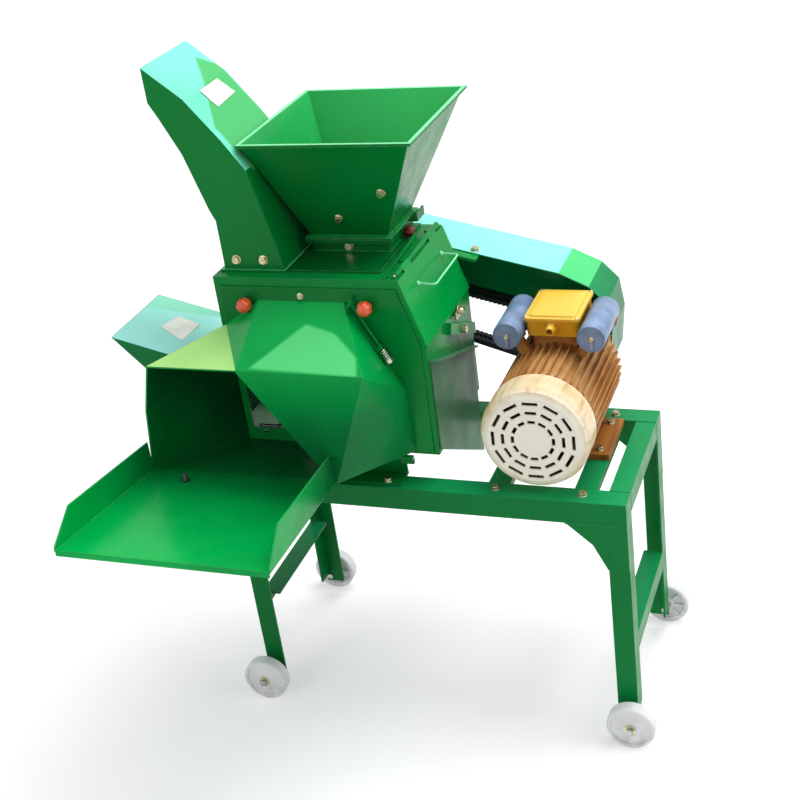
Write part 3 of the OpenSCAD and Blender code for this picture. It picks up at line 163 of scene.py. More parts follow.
def blend_colour(tree, share, first, second):
    """The first colour where share is 0, the second where it is 1."""
    mixed = add(tree, "ShaderNodeMix", data_type="RGBA")
    for key, value in ((0, share), (6, first), (7, second)):
        if isinstance(value, bpy.types.NodeSocket):
            tree.links.new(value, mixed.inputs[key])
        else:
            mixed.inputs[key].default_value = value
    return mixed.outputs[2]


def combine(tree, operation, first, second):
    """One step of arithmetic on two values."""
    return add(tree, "ShaderNodeMath", {0: first, 1: second}, operation=operation).outputs[0]


def times(tree, first, second):
    return combine(tree, "MULTIPLY", first, second)


def minus(tree, point, origin):
    """The point as seen from an origin."""
    return add(tree, "ShaderNodeVectorMath", {0: point, 1: tuple(origin)}, operation="SUBTRACT").outputs[0]


def dot(tree, first, second):
    """How far one direction runs along another."""
    return add(tree, "ShaderNodeVectorMath", {0: first, 1: second}, operation="DOT_PRODUCT").outputs["Value"]


def bump(tree, height, strength, distance, under=None):
    """Normal raised by height, on top of the normal under it."""
    made = add(tree, "ShaderNodeBump", {"Height": height, "Strength": strength, "Distance": distance})
    if under is not None:
        tree.links.new(under, made.inputs["Normal"])
    return made.outputs[0]


def along(tree, point, start, end):
    """0 at the start point, 1 at the end point, level across the line that joins them."""
    line = np.array(end, float) - np.array(start, float)
    return spread(tree, dot(tree, minus(tree, point, start), tuple(line / line.dot(line))), 0.0, 1.0)


def round_edges(tree, radius):
    """Softened normal near edges, and how far it leans from the flat one: 0 on faces, 1 on edges."""
    soft = add(tree, "ShaderNodeBevel", {"Radius": radius}, samples=4).outputs[0]
    flat = add(tree, "ShaderNodeNewGeometry").outputs["True Normal"]
    return soft, spread(tree, dot(tree, soft, flat), 0.995, 0.86)


def facing(tree, direction, low, high):
    """0 to 1 as a face of the piece turns towards a direction."""
    normal = add(tree, "ShaderNodeTexCoord").outputs["Normal"]
    return spread(tree, dot(tree, normal, tuple(direction)), low, high)


def from_inside(tree, point, centre):
    """1 on faces that look towards a point inside a hollow piece, 0 on its outside."""
    normal = add(tree, "ShaderNodeTexCoord").outputs["Normal"]
    return spread(tree, dot(tree, normal, minus(tree, point, centre)), 0.002, -0.002)


def patch(tree, point, corners, soft=0.004):
    """1 inside a convex patch between corners on a face, 0 beyond its soft edges and behind the sheet."""
    corners = np.array(corners, float)
    middle = corners.mean(axis=0)
    normal = np.cross(corners[1] - corners[0], corners[2] - corners[0])
    normal *= np.sign(normal[2]) / np.linalg.norm(normal)
    share = facing(tree, normal, 0.8, 0.95)
    for a, b in zip(corners, np.roll(corners, -1, axis=0)):
        inward = np.cross(normal, b - a)
        inward *= np.sign(inward @ (middle - a)) / np.linalg.norm(inward)
        depth = dot(tree, minus(tree, point, a), tuple(inward))
        share = times(tree, share, spread(tree, depth, -soft, soft))
    return share


def enamel(
    name, dark, light, shade_line=None, top_highlights=(), reflection_patches=(), inside=None, edge=(60, 176, 104), wear_and_highlight=0.55,
    gloss=0.24, level=0.10, dust=(30, 62, 38),
):
    """Brushed-on gloss enamel over sheet steel.

    The colour runs from dark to light along a line, painted shade and painted light that follow
    how light falls on the part, and varies at random in wide soft cloudy areas. Each colour for
    faces that look up by more than its pair of cosines is painted highlight and painted
    reflection; each colour between corners is a painted reflection on a face. A point in the
    hollow, with two colours and a line, gives the inner faces round it their own painted shade
    and painted light. Edges turn to a paler line, partly wear and partly a painted highlight; dust
    sits in fine specks, and the sheet is slightly wavy under a fine orange peel.
    """
    tree, shader, point = new_finish(name)
    wide = noise(tree, point, 4.5, 2.0)

    # Painted shade and painted light: dark to light along the line, mixed with random tone in wide cloudy
    # areas.
    def run_of(dark, light, shade_line):
        share = spread(tree, wide, 0.32, 0.68)
        if shade_line is not None:
            run = times(tree, along(tree, point, *shade_line), 0.70)
            share = combine(tree, "ADD", run, times(tree, share, 0.30))
        return blend_colour(tree, share, rgb(*dark), rgb(*light))

    colour = run_of(dark, light, shade_line)
    # Painted highlights and painted reflections on faces that look up.
    for tone, low, high in top_highlights:
        top_highlight_share = times(tree, facing(tree, Z_AXIS, low, high), spread(tree, wide, 0.30, 0.60, 0.72, 1.0))
        colour = blend_colour(tree, top_highlight_share, colour, rgb(*tone))
    # Painted reflections on faces, between corners.
    for tone, corners in reflection_patches:
        colour = blend_colour(tree, patch(tree, point, corners), colour, rgb(*tone))
    # Painted shade and painted light on the inner faces of a hollow.
    if inside is not None:
        centre, inner_dark, inner_light, inner_shade_line = inside
        hollow = run_of(inner_dark, inner_light, inner_shade_line)
        colour = blend_colour(tree, from_inside(tree, point, centre), colour, hollow)
    specks = spread(tree, noise(tree, point, 95.0, 4.0, 0.7), 0.62, 0.78)
    colour = blend_colour(tree, times(tree, specks, 0.20), colour, rgb(*dust))
    # Paler edges: partly wear, partly a painted highlight along the edges.
    soft, edge_wear_and_highlight = round_edges(tree, 0.0022)
    edge_wear_and_highlight = times(tree, edge_wear_and_highlight, spread(tree, noise(tree, point, 40.0, 3.0), 0.30, 0.62, 0.2 * wear_and_highlight, wear_and_highlight))
    colour = blend_colour(tree, edge_wear_and_highlight, colour, rgb(*edge))
    wavy = bump(tree, wide, 0.22, 0.010, soft)
    peel = bump(tree, noise(tree, point, 420.0, 2.0), 0.05, 0.0008, wavy)
    rough = spread(tree, noise(tree, point, 22.0, 3.0), 0.3, 0.7, gloss - 0.06, gloss + 0.10)
    tree.links.new(colour, shader.inputs["Base Color"])
    tree.links.new(rough, shader.inputs["Roughness"])
    tree.links.new(peel, shader.inputs["Normal"])
    shader.inputs["Specular IOR Level"].default_value = level
    shader.inputs["Coat Weight"].default_value = 0.05
    shader.inputs["Coat Roughness"].default_value = 0.08


def bare_metal(name, dark, light, rough=0.32, streak=(1, 1, 1), scale=60.0, rust=0.0, ripple=0.12):
    """Uncoated or plated metal: tone and roughness follow streaks, with a little rust in specks."""
    tree, shader, point = new_finish(name)
    lines = noise(tree, stretched(tree, point, streak), scale, 4.0, 0.6)
    colour = blend_colour(tree, spread(tree, lines, 0.3, 0.7), rgb(*dark), rgb(*light))
    if rust:
        spots = spread(tree, noise(tree, point, 34.0, 5.0, 0.7), 0.60, 0.72)
        colour = blend_colour(tree, times(tree, spots, rust), colour, rgb(120, 70, 38))
    # Paler edges: partly wear, partly a painted highlight along the edges.
    soft, edge_wear_and_highlight = round_edges(tree, 0.0008)
    colour = blend_colour(tree, times(tree, edge_wear_and_highlight, 0.35), colour, rgb(235, 236, 238))
    tree.links.new(colour, shader.inputs["Base Color"])
    tree.links.new(spread(tree, lines, 0.3, 0.7, rough + 0.12, rough - 0.08), shader.inputs["Roughness"])
    tree.links.new(bump(tree, lines, ripple, 0.0006, soft), shader.inputs["Normal"])
    shader.inputs["Metallic"].default_value = 1.0


def moulded(name, dark, light, rough=0.4, grime=None, grime_line=None, ripple=0.05, level=0.5, coat=0.0):
    """Moulded plastic or rubber: slight cloudiness, a fine mould texture, and grime along a line."""
    tree, shader, point = new_finish(name)
    cloud = noise(tree, point, 26.0, 3.0)
    colour = blend_colour(tree, spread(tree, cloud, 0.3, 0.7), rgb(*dark), rgb(*light))
    if grime is not None:
        smears = spread(tree, noise(tree, point, 48.0, 5.0, 0.65), 0.38, 0.62)
        amount = times(tree, along(tree, point, *grime_line), smears)
        colour = blend_colour(tree, times(tree, amount, 0.8), colour, rgb(*grime))
    # Paler edges: partly wear, partly a painted highlight along the edges.
    soft, edge_wear_and_highlight = round_edges(tree, 0.0012)
    colour = blend_colour(tree, times(tree, edge_wear_and_highlight, 0.25), colour, rgb(*(min(255, c + 40) for c in light)))
    tree.links.new(colour, shader.inputs["Base Color"])
    tree.links.new(spread(tree, cloud, 0.3, 0.7, rough - 0.06, rough + 0.08), shader.inputs["Roughness"])
    tree.links.new(bump(tree, noise(tree, point, 600.0, 2.0), ripple, 0.0005, soft), shader.inputs["Normal"])
    shader.inputs["Specular IOR Level"].default_value = level
    shader.inputs["Coat Weight"].default_value = coat
    shader.inputs["Coat Roughness"].default_value = 0.1


def from_motor_axis(tree, point):
    """Distance of a point on the piece from the motor's axis."""
    flat = add(tree, "ShaderNodeVectorMath", {0: point, 1: (1, 0, 1)}, operation="MULTIPLY").outputs[0]
    axis = (MOTOR[0], 0, MOTOR[2])
    return add(tree, "ShaderNodeVectorMath", {0: flat, 1: axis}, operation="DISTANCE").outputs["Value"]


def motor_paint(name, inner, outer, ring, streaks=(168, 110, 42)):
    """Motor paint: pale in the middle, golden brown towards the rim, with rusty streaks front to back."""
    tree, shader, point = new_finish(name)
    away = from_motor_axis(tree, point)
    cloud = noise(tree, point, 18.0, 4.0)
    rim = spread(tree, combine(tree, "ADD", away, times(tree, cloud, 0.03)), *ring)
    colour = blend_colour(tree, rim, rgb(*inner), rgb(*outer))
    lines = noise(tree, stretched(tree, point, (1, 0.12, 1)), 70.0, 4.0, 0.6)
    strong = times(tree, rim, spread(tree, lines, 0.45, 0.68))
    colour = blend_colour(tree, times(tree, strong, 0.7), colour, rgb(*streaks))
    stains = spread(tree, noise(tree, point, 9.0, 5.0, 0.6), 0.55, 0.75)
    colour = blend_colour(tree, times(tree, stains, 0.25), colour, rgb(205, 178, 120))
    # Paler edges: partly wear, partly a painted highlight along the edges.
    soft, edge_wear_and_highlight = round_edges(tree, 0.0018)
    colour = blend_colour(tree, times(tree, edge_wear_and_highlight, 0.3), colour, rgb(226, 196, 132))
    tree.links.new(colour, shader.inputs["Base Color"])
    tree.links.new(spread(tree, cloud, 0.3, 0.7, 0.38, 0.55), shader.inputs["Roughness"])
    tree.links.new(bump(tree, noise(tree, point, 260.0, 3.0), 0.12, 0.0008, soft), shader.inputs["Normal"])
    shader.inputs["Specular IOR Level"].default_value = 0.35


def banded(name, first, second, step, axis, rough=0.5):
    """Even bands across an axis, such as windings, one each 2 pi steps, under a soft mottle."""
    tree, shader, point = new_finish(name)
    bands = add(
        tree, "ShaderNodeTexWave", {"Vector": point, "Scale": 0.05 / step, "Distortion": 1.2, "Detail": 2.0},
        wave_type="BANDS", bands_direction=axis,
    ).outputs["Fac"]
    colour = blend_colour(tree, bands, rgb(*first), rgb(*second))
    tree.links.new(colour, shader.inputs["Base Color"])
    mottle = spread(tree, noise(tree, point, 30.0), 0.3, 0.7, rough - 0.1, rough + 0.1)
    tree.links.new(mottle, shader.inputs["Roughness"])
    tree.links.new(bump(tree, bands, 0.4, 0.0008), shader.inputs["Normal"])


# The green sheet and frame parts are one enamel. Each part's own dark and light colours and its run from dark
# to light are painted light and shade; colours for up-facing faces are painted highlights and painted
# reflections, colours between corners painted reflections, and paler edge colours partly painted highlights.
enamel("casing_enamel", (0, 110, 46), (0, 148, 64), (at(-360, 0, 560), at(35, 0, 900)))
enamel("door_enamel", (0, 112, 46), (0, 142, 60), (at(-360, 0, 900), at(35, 0, 560)))
# The hood's hollow colours are painted shade inside its mouth, darkest towards the back.
enamel(
    "hood_enamel", (10, 112, 58), (0, 176, 78), (at(-150, -200, 640), at(-200, -200, 830)),
    top_highlights=[((184, 240, 142), 0.90, 0.96)],
    reflection_patches=[((92, 218, 130), [
        at(-250, -245, 796), at(-167, -162, 844), at(-107, -177, 835), at(-56, -217, 811), at(-46, -249, 792),
    ])],
    inside=(at(-250, -185, 690), (0, 46, 24), (0, 116, 50), (at(-300, -140, 720), at(-300, -250, 575))),
)
enamel(
    "table_enamel", (0, 100, 44), (0, 186, 84), (at(-306, -250, 572), at(-306, -520, 600)),
    edge=(110, 222, 150),
)
enamel(
    "tall_chute_enamel", (0, 118, 48), (0, 136, 56), (at(-240, 0, 920), at(-420, 0, 1240)),
    top_highlights=[((124, 232, 204), 0.46, 0.60)],
    reflection_patches=[((78, 184, 108), [
        at(-409, 54, 1270), at(-380, 85, 1246), at(-262, 85, 1098), at(-262, -70, 1098), at(-322, -75, 1180),
        at(-345, -35, 1209),
    ])],
)
enamel(
    "side_chute_enamel", (0, 104, 52), (0, 128, 62), (at(-360, 0, 640), at(-600, 0, 700)),
    top_highlights=[((176, 252, 246), 0.80, 0.92)],
    reflection_patches=[((146, 232, 200), [
        at(-640, 55, 762), at(-640, 130, 762), at(-480, 130, 719), at(-480, 104, 719),
    ])],
)
# The hopper's hollow colours are painted light on its inner walls.
enamel(
    "hopper_enamel", (0, 96, 34), (0, 128, 54), (at(-200, -60, 960), at(-100, 60, 1150)),
    top_highlights=[((132, 232, 168), 0.90, 0.97)], edge=(110, 214, 146), wear_and_highlight=0.8,
    inside=(at(-124, 84, 1110), (20, 150, 72), (58, 188, 100), (at(-260, 60, 1000), at(0, 240, 1120))),
)
enamel("neck_enamel", (0, 92, 36), (0, 118, 50), (at(-200, -60, 920), at(-60, 60, 940)), edge=(90, 196, 130))
enamel("cover_enamel", (0, 140, 58), (0, 164, 70), (at(0, 130, 800), at(0, -110, 900)))
enamel("handle_enamel", (130, 235, 172), (168, 246, 200), edge=(190, 246, 214))
enamel(
    "guard_enamel", (0, 92, 56), (0, 152, 84), (at(300, 0, 640), at(220, 0, 780)),
    top_highlights=[((84, 214, 128), 0.70, 0.86), ((146, 240, 228), 0.91, 0.95)], edge=(150, 236, 204),
)
enamel(
    "frame_enamel", (0, 108, 48), (0, 130, 60), (at(-380, 0, 300), at(380, 0, 500)),
    top_highlights=[((20, 150, 86), 0.60, 0.90)], gloss=0.32,
)
enamel(
    "apron_enamel", (58, 106, 70), (96, 156, 116), (at(35, 0, 700), at(35, 0, 470)), edge=(130, 186, 146),
    gloss=0.36, level=0.06,
)
# The box's colour for up-facing faces is a painted highlight; its paler edges are partly a painted highlight.
enamel(
    "box_enamel", (216, 156, 26), (234, 180, 50), top_highlights=[((242, 204, 84), 0.60, 0.92)], edge=(250, 224, 128),
    gloss=0.3, level=0.2, dust=(132, 92, 30),
)
bare_metal("turned_steel", (150, 152, 156), (205, 206, 208), 0.28, (1, 12, 1), 30.0)
bare_metal("mill_steel", (46, 48, 50), (84, 86, 88), 0.46, (1, 1, 1), 45.0, rust=0.5)
bare_metal("ground_steel", (80, 82, 86), (128, 130, 134), 0.30, (14, 1, 14), 30.0)
bare_metal("zinc_plate", (160, 152, 112), (214, 208, 172), 0.30, (1, 1, 1), 90.0)
bare_metal("pale_zinc", (206, 204, 192), (236, 234, 224), 0.34, (1, 1, 1), 90.0)
bare_metal("pulley_casting", (58, 60, 64), (92, 94, 98), 0.45, (1, 1, 1), 50.0, rust=0.3)
moulded("wheel_nylon", (232, 233, 236), (242, 243, 246), 0.42, (196, 194, 188), (at(0, 0, 70), at(0, 0, 0)))
moulded("door_knob_plastic", (216, 68, 32), (232, 92, 50), 0.24, coat=0.3)
moulded("gate_knob_plastic", (112, 26, 24), (142, 44, 36), 0.34)
moulded("belt_rubber", (22, 23, 26), (40, 42, 46), 0.6, level=0.3)
moulded("fan_plastic", (18, 18, 19), (30, 30, 32), 0.4)
moulded("can_paint", (104, 126, 160), (134, 158, 194), 0.34, level=0.35, coat=0.1)
moulded("tag_plastic", (132, 134, 156), (160, 162, 182), 0.4)
moulded("label_paper", (222, 226, 216), (240, 242, 236), 0.6, level=0.2)
motor_paint("fan_cover_paint", (254, 250, 234), (222, 184, 120), (0.092, 0.128))
motor_paint("motor_frame_paint", (222, 190, 128), (176, 112, 44), (0.085, 0.118), (120, 66, 20))
banded("varnished_winding", (120, 62, 26), (168, 98, 48), 0.0015, "Y")

FINISH = {
    "casing_enamel": ["casing_front", "casing_back", "casing_left", "casing_right", "casing_top"],
    "door_enamel": ["front_door"],
    "hood_enamel": ["feed_hood"],
    "table_enamel": ["feed_table"],
    "tall_chute_enamel": ["tall_chute"],
    "side_chute_enamel": ["side_chute"],
    "hopper_enamel": ["hopper"],
    "neck_enamel": ["hopper_neck", "gate_plate"],
    "cover_enamel": ["shoulder_cover"],
    "handle_enamel": ["cover_handle"],
    "guard_enamel": ["belt_guard"],
    "frame_enamel": [
        "front_rail", "back_rail", "end_rails", "legs", "lower_stretchers", "motor_bearers",
        "bearing_housing",
    ],
    "apron_enamel": ["side_panel"],
    "turned_steel": [
        "stub_axles", "main_shaft", "motor_shaft", "shaft_bearings", "hammer_pins", "hinge_pins",
    ],
    "mill_steel": ["rotor_discs", "hammers_a", "hammers_b", "hammers_c", "fan_paddles", "screen"],
    "ground_steel": ["knives", "fixed_blade"],
    "zinc_plate": ["axle_fasteners", "bolts", "cover_latch", "stay_rod"],
    "wheel_nylon": ["front_left_wheel", "front_right_wheel", "back_left_wheel", "back_right_wheel"],
    "door_knob_plastic": ["left_door_knob", "right_door_knob"],
    "gate_knob_plastic": ["gate_knob"],
    "belt_rubber": ["v_belts"],
    "fan_plastic": ["cooling_fan"],
    "pulley_casting": ["driven_pulley", "motor_pulley"],
    "box_enamel": ["junction_box", "junction_lid"],
    "can_paint": ["capacitors"],
    "fan_cover_paint": ["fan_cover"],
    "motor_frame_paint": ["motor_frame", "end_bells"],
    "varnished_winding": ["stator"],
}
for finish, members in FINISH.items():
    for member in members:
        slots = NODES[member].data.materials
        slots.clear()
        slots.append(bpy.data.materials[finish])


# Surfaces worked out as arrays

def unit(v):
    """Vectors brought to length 1."""
    v = np.asarray(v, float)
    return v / np.linalg.norm(v, axis=-1, keepdims=True)


def across(axis):
    """Two directions square to the axis and to each other, turning the right way round it."""
    axis = unit(axis)
    first = unit(np.cross(axis, Z_AXIS if abs(axis[2]) < 0.9 else X_AXIS))
    return first, np.cross(axis, first)


def band_faces(index, wrap_rows=False):
    """Four-sided faces between neighbouring rows of an index grid whose columns close on themselves."""
    rows = np.concatenate([index, index[:1]]) if wrap_rows else index
    after = np.roll(rows, -1, axis=1)
    return np.stack([rows[:-1], after[:-1], after[1:], rows[1:]], axis=-1).reshape(-1, 4).tolist()


def skin(points, wrap_rows=False):
    """Surface over a grid of points, rows by columns: columns close, and ends are capped or joined."""
    index = np.arange(points.shape[0] * points.shape[1]).reshape(points.shape[:2])
    faces = band_faces(index, wrap_rows)
    if not wrap_rows:
        faces += [index[0][::-1].tolist(), index[-1].tolist()]
    return points.reshape(-1, 3), faces


def turned(profile, base, axis, steps=48, swell=None, ring=False):
    """Turned solid: the profile's radius r and height h, in millimetres, go round the axis, so that
    a point is base + r (cos a u + sin a v) + h axis. swell(a, h) scales r, for lobes and threads.
    A ring's profile closes on itself; any other profile starts and ends on the axis."""
    profile = np.asarray(profile, float)
    if not ring:
        profile = profile[1:-1]
    a = np.linspace(0, 2 * math.pi, steps, endpoint=False)[None, :]
    r, h = profile[:, :1], profile[:, 1:] * np.ones_like(a)
    r = r * (np.ones_like(a) if swell is None else swell(a, profile[:, 1:]))
    u, v = across(axis)
    round_it = np.cos(a)[..., None] * u + np.sin(a)[..., None] * v
    return skin(np.asarray(base) + MM * (r[..., None] * round_it + h[..., None] * unit(axis)), ring)


def swept(path, section, look, closed=False, swell=1.0):
    """A section, in millimetres, carried along a path. At each station it stands square to the
    path, with its first direction square to look; swell scales it station by station."""
    path = np.asarray(path, float)
    if closed:
        run = unit(np.roll(path, -1, axis=0) - np.roll(path, 1, axis=0))
    else:
        run = unit(np.gradient(path, axis=0))
    side = unit(np.cross(run, np.asarray(look, float)))
    up = np.cross(side, run)
    size = MM * np.broadcast_to(np.asarray(swell, float), (len(path),))[:, None, None]
    rows = section[:, :1] * side[:, None] + section[:, 1:] * up[:, None]
    return skin(path[:, None] + size * rows, closed)


def circle(radius, sides=16, flat=1.0):
    """Round section, squeezed in its second direction by flat."""
    a = np.linspace(0, 2 * math.pi, sides, endpoint=False)
    return radius * np.stack([np.cos(a), -flat * np.sin(a)], 1)


def smooth_path(corners, bend, steps=7):
    """Straight runs joined by bends of the given length: each bend is the quadratic curve
    (1-t)^2 start + 2t(1-t) corner + t^2 end."""
    corners = np.asarray(corners, float)
    before, corner, after = corners[:-2], corners[1:-1], corners[2:]
    start = corner + unit(before - corner) * bend * MM
    end = corner + unit(after - corner) * bend * MM
    t = np.linspace(0, 1, steps)[None, :, None]
    curve = (1 - t) ** 2 * start[:, None] + 2 * t * (1 - t) * corner[:, None] + t ** 2 * end[:, None]
    return np.concatenate([corners[:1], curve.reshape(-1, 3), corners[-1:]])


def lofted(outlines, levels, u, v, origin, ring=False):
    """Skin over a stack of outlines of equal count, in millimetres along u and v, each at its own
    level along u x v."""
    stack, rise = np.stack(outlines), np.asarray(levels, float)[:, None, None]
    rows = stack[..., :1] * u + stack[..., 1:] * v + rise * np.cross(u, v)
    return skin(np.asarray(origin) + MM * rows, ring)


def slab(outline, low, high, u, v, origin):
    """Flat plate: an outline along u and v, between two levels along u x v, in millimetres."""
    return lofted([np.asarray(outline, float)] * 2, (low, high), u, v, origin)


def rounded_rectangle(width, depth, corner, steps=6):
    """Outline of a rectangle about the origin, its corners quarter circles."""
    a = np.linspace(0, 2 * math.pi, 4 * steps, endpoint=False) + math.pi / (4 * steps)
    turn = np.stack([np.cos(a), np.sin(a)], 1)
    return corner * turn + np.sign(turn) * (width / 2 - corner, depth / 2 - corner)


def outward(mesh):
    """Turns every closed shell's faces outwards."""
    shells = bmesh.new()
    shells.from_mesh(mesh)
    bmesh.ops.recalc_face_normals(shells, faces=shells.faces)
    shells.to_mesh(mesh)
    shells.free()


def piece(name, surfaces, finish, body="frame", stands_for=(), soft_angle=35.0):
    """One object from several closed surfaces, smooth except across sharp edges, that has its finish
    and rides on its body."""
    starts = np.cumsum([0] + [len(points) for points, _ in surfaces])
    faces = [[i + start for i in face] for start, (_, own) in zip(starts, surfaces) for face in own]
    mesh = bpy.data.meshes.new(name)
    mesh.from_pydata(np.concatenate([points for points, _ in surfaces]).tolist(), [], faces)
    outward(mesh)
    mesh.shade_smooth()
    mesh.set_sharp_from_angle(angle=math.radians(soft_angle))
    mesh.materials.append(bpy.data.materials[finish])
    made = bpy.data.objects.new(name, mesh)
    bpy.context.scene.collection.objects.link(made)
    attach(made, body)
    if stands_for:
        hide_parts(*stands_for)


# Fasteners

def hex_head(base, axis, flats, height):
    """Hexagon head: r = (flats / 2) / cos(a folded to 30 degrees), drawn in to a round top by its chamfer."""
    side = flats / 2

    def shape(a, h):
        top = np.clip((h / height - 0.72) / 0.28, 0, 1)
        return np.minimum(1 / np.cos(a % (math.pi / 3) - math.pi / 6), 1.155 - 0.16 * top ** 1.5)

    rises = (0, 0.35, 0.72, 0.84, 0.93, 1)
    profile = [(0, 0), *((side, height * k) for k in rises), (0, height)]
    return turned(profile, base, axis, 48, shape)


def hex_nut(base, axis, flats, height, bore):
    """Hexagon nut with an open round bore."""
    side = flats / 2
    profile = [(bore, 0), (side, 0), (side, height * 0.8), (side * 0.96, height), (bore, height)]
    radii = np.array(profile)[:, :1]

    def shape(a, h):
        hexagon = np.minimum(1 / np.cos(a % (math.pi / 3) - math.pi / 6), 1.14)
        return np.where(radii > bore + 1, hexagon, 1.0)

    return turned(profile, base, axis, 48, shape, ring=True)


def threaded(base, axis, radius, length, pitch, steps=20):
    """Threaded rod: r falls by a third of the pitch between crests, along a helix of that pitch."""
    h = np.linspace(0, length, max(3, int(length / pitch) * 4 + 1))
    profile = np.concatenate([[(0, 0)], np.stack([np.full_like(h, radius), h], 1), [(0, length)]])

    def ridge(a, level):
        phase = level / pitch - a / (2 * math.pi)
        return 1 - 0.33 * pitch / radius * np.abs(2 * (phase % 1) - 1)

    return turned(profile, base, axis, steps, ridge)


def bolt_set(base, axis, shank):
    """Washer with rounded rims, chamfered hexagon head and threaded shank."""
    axis = unit(axis)
    washer = turned([(0, 0), (8.7, 0), (9, 0.35), (9, 1.15), (8.6, 1.5), (0, 1.5)], base, axis, 32)
    head = hex_head(base + 1.5 * MM * axis, axis, 13, 5.5)
    return [washer, head, threaded(base - axis * shank * MM, axis, 3.95, shank, 1.0)]


def bolts():
    """All bolts of frame and casing."""
    sets = []
    for x in (-319, -265):
        sets += bolt_set(at(x, -90, 935), -Y_AXIS, 12)
    lean = math.atan2(79 - 5, 198)
    out = np.array([0, -math.cos(lean), -math.sin(lean)])
    for x, rise in ((-43, 95), (-140, 39)):
        sets += bolt_set(at(x, -rise * math.tan(lean), 946.6 + rise) + 0.4 * MM * out, out, 8)
    sets += bolt_set(at(-134, 0, 926), -Y_AXIS, 6)
    for side in (-1, 1):
        for x in (-330, -60):
            sets += bolt_set(at(x, side * 151, 522), Z_AXIS, 14)
        for x in (MOTOR_X - 80, MOTOR_X + 80):
            sets += bolt_set(at(x, side * 145, 518), Z_AXIS, 14)
    for x in (MOTOR_X - 80, MOTOR_X + 80):
        for y in (0, 100):
            sets += bolt_set(at(x, y, 526), Z_AXIS, 22)
    sets += bolt_set(at(44, 61, 734), X_AXIS, 16)
    for a in np.radians((45, 135, 225, 315)):
        sets += bolt_set(at(SHAFT_X + 63 * math.cos(a), 152, SHAFT_Z + 63 * math.sin(a)), Y_AXIS, 18)
    fall = 0.238
    for x in (-150, 45):
        sets += bolt_set(at(x, 174, 881 - fall * (x + 104)), (fall, 0, 1), 12)
    piece("bolts_and_washers", sets, "zinc_plate", stands_for=["bolts"])


# Wheels

def wheels():
    """Moulded wheels: a turned section with a rounded tread, a groove inside the rim and a shallow
    dome up to the hub outside; inside, the web is sunk and carries eight ribs."""
    profile = [
        (6.08, -14), (15.4, -14), (16, -13.4), (17.2, -8), (34.4, -8), (36, -12.4), (37, -13), (42.6, -13),
        (44.6, -12.2), (45.8, -10.4), (46, -8), (46, 8), (45.8, 10.4), (44.6, 12.2), (42.6, 13), (39.4, 13),
        (38.6, 12.4), (38, 10.2), (36.6, 9.4), (35, 9.8), (28, 11.6), (20, 12.9), (14.5, 13.4), (13.5, 13.9),
        (6.5, 14), (6.08, 13.6),
    ]
    rib = [(16.5, -1.3), (35.5, -1.3), (35.5, 1.3), (16.5, 1.3)]
    corners = (("front_left", -1, -1), ("front_right", 1, -1), ("back_left", -1, 1), ("back_right", 1, 1))
    for place, sx, sy in corners:
        centre, out = at(sx * WHEEL_X, sy * WHEEL_Y, WHEEL_Z), sy * Y_AXIS
        shapes = [turned(profile, centre, out, 96, ring=True)]
        u, v = across(out)
        for a in np.arange(8) * math.pi / 4:
            spoke, side = math.cos(a) * u + math.sin(a) * v, math.cos(a) * v - math.sin(a) * u
            shapes.append(slab(rib, -12.2, -7.5, spoke, side, centre))
        piece(place + "_moulded_wheel", shapes, "wheel_nylon", "wheel_" + place, [place + "_wheel"])


def split_pin(middle, out):
    """Split pin of half-round wire: an eye above the axle, two legs through it, spread below."""
    t = np.linspace(0, math.pi, 9)
    shapes = []
    for side in (-1, 1):
        eye = np.stack([2.2 * side * np.sin(t), 11.6 + 2.4 * np.cos(t)], 1)
        legs = np.array([(0.72, 8.4), (0.72, 0), (0.72, -7.6), (1.8, -9.2), (4.6, -11.8)]) * (side, 1)
        flat = np.concatenate([eye, legs]) * MM
        shapes.append(swept(middle + flat[:, :1] * X_AXIS + flat[:, 1:] * Z_AXIS, circle(0.7, 8), out))
    return shapes


def axle_washers():
    """Washers and split pins that keep the wheels on their axles."""
    washer = [(6.2, 0.3), (10.6, 0.3), (11, 0.7), (11, 3.0), (10.6, 3.4), (6.2, 3.4)]
    shapes = []
    for sx in (-1, 1):
        for sy in (-1, 1):
            hub, out = at(sx * WHEEL_X, sy * (WHEEL_Y + 14), WHEEL_Z), sy * Y_AXIS
            shapes.append(turned(washer, hub, out, 40, ring=True))
            shapes += split_pin(hub + 5 * MM * out, out)
    piece("axle_washers_and_pins", shapes, "zinc_plate", stands_for=["axle_fasteners"])


# Shoulder cover, its handle and its latch

SLOPE = math.atan2(127, 40)


def on_slope(s, y, h):
    """A point s down the slanted shoulder, y along it and h off it, in millimetres."""
    return at(
        -5 + s * math.cos(SLOPE) + h * math.sin(SLOPE), y, 912 - s * math.sin(SLOPE) + h * math.cos(SLOPE)
    )


def cover_handle():
    """Wire bent to a bracket, with a round weld foot at each end."""
    grip = 38 + 34 * math.tan(math.radians(18))
    corners = [on_slope(38, -49, 3.2), on_slope(grip, -49, 34), on_slope(grip, 85, 34), on_slope(38, 85, 3.2)]
    down, out = on_slope(1, 0, 0) - on_slope(0, 0, 0), on_slope(0, 0, 1) - on_slope(0, 0, 0)
    shapes = [swept(smooth_path(corners, 8, 9), circle(1.95), down)]
    for y in (-49, 85):
        shapes.append(turned([(0, 0), (5, 0), (4.5, 1.4), (3, 2.8), (0, 3.2)], on_slope(38, y, 3.3), out, 24))
    piece("cover_handle_wire", shapes, "handle_enamel", "cover", ["cover_handle"])


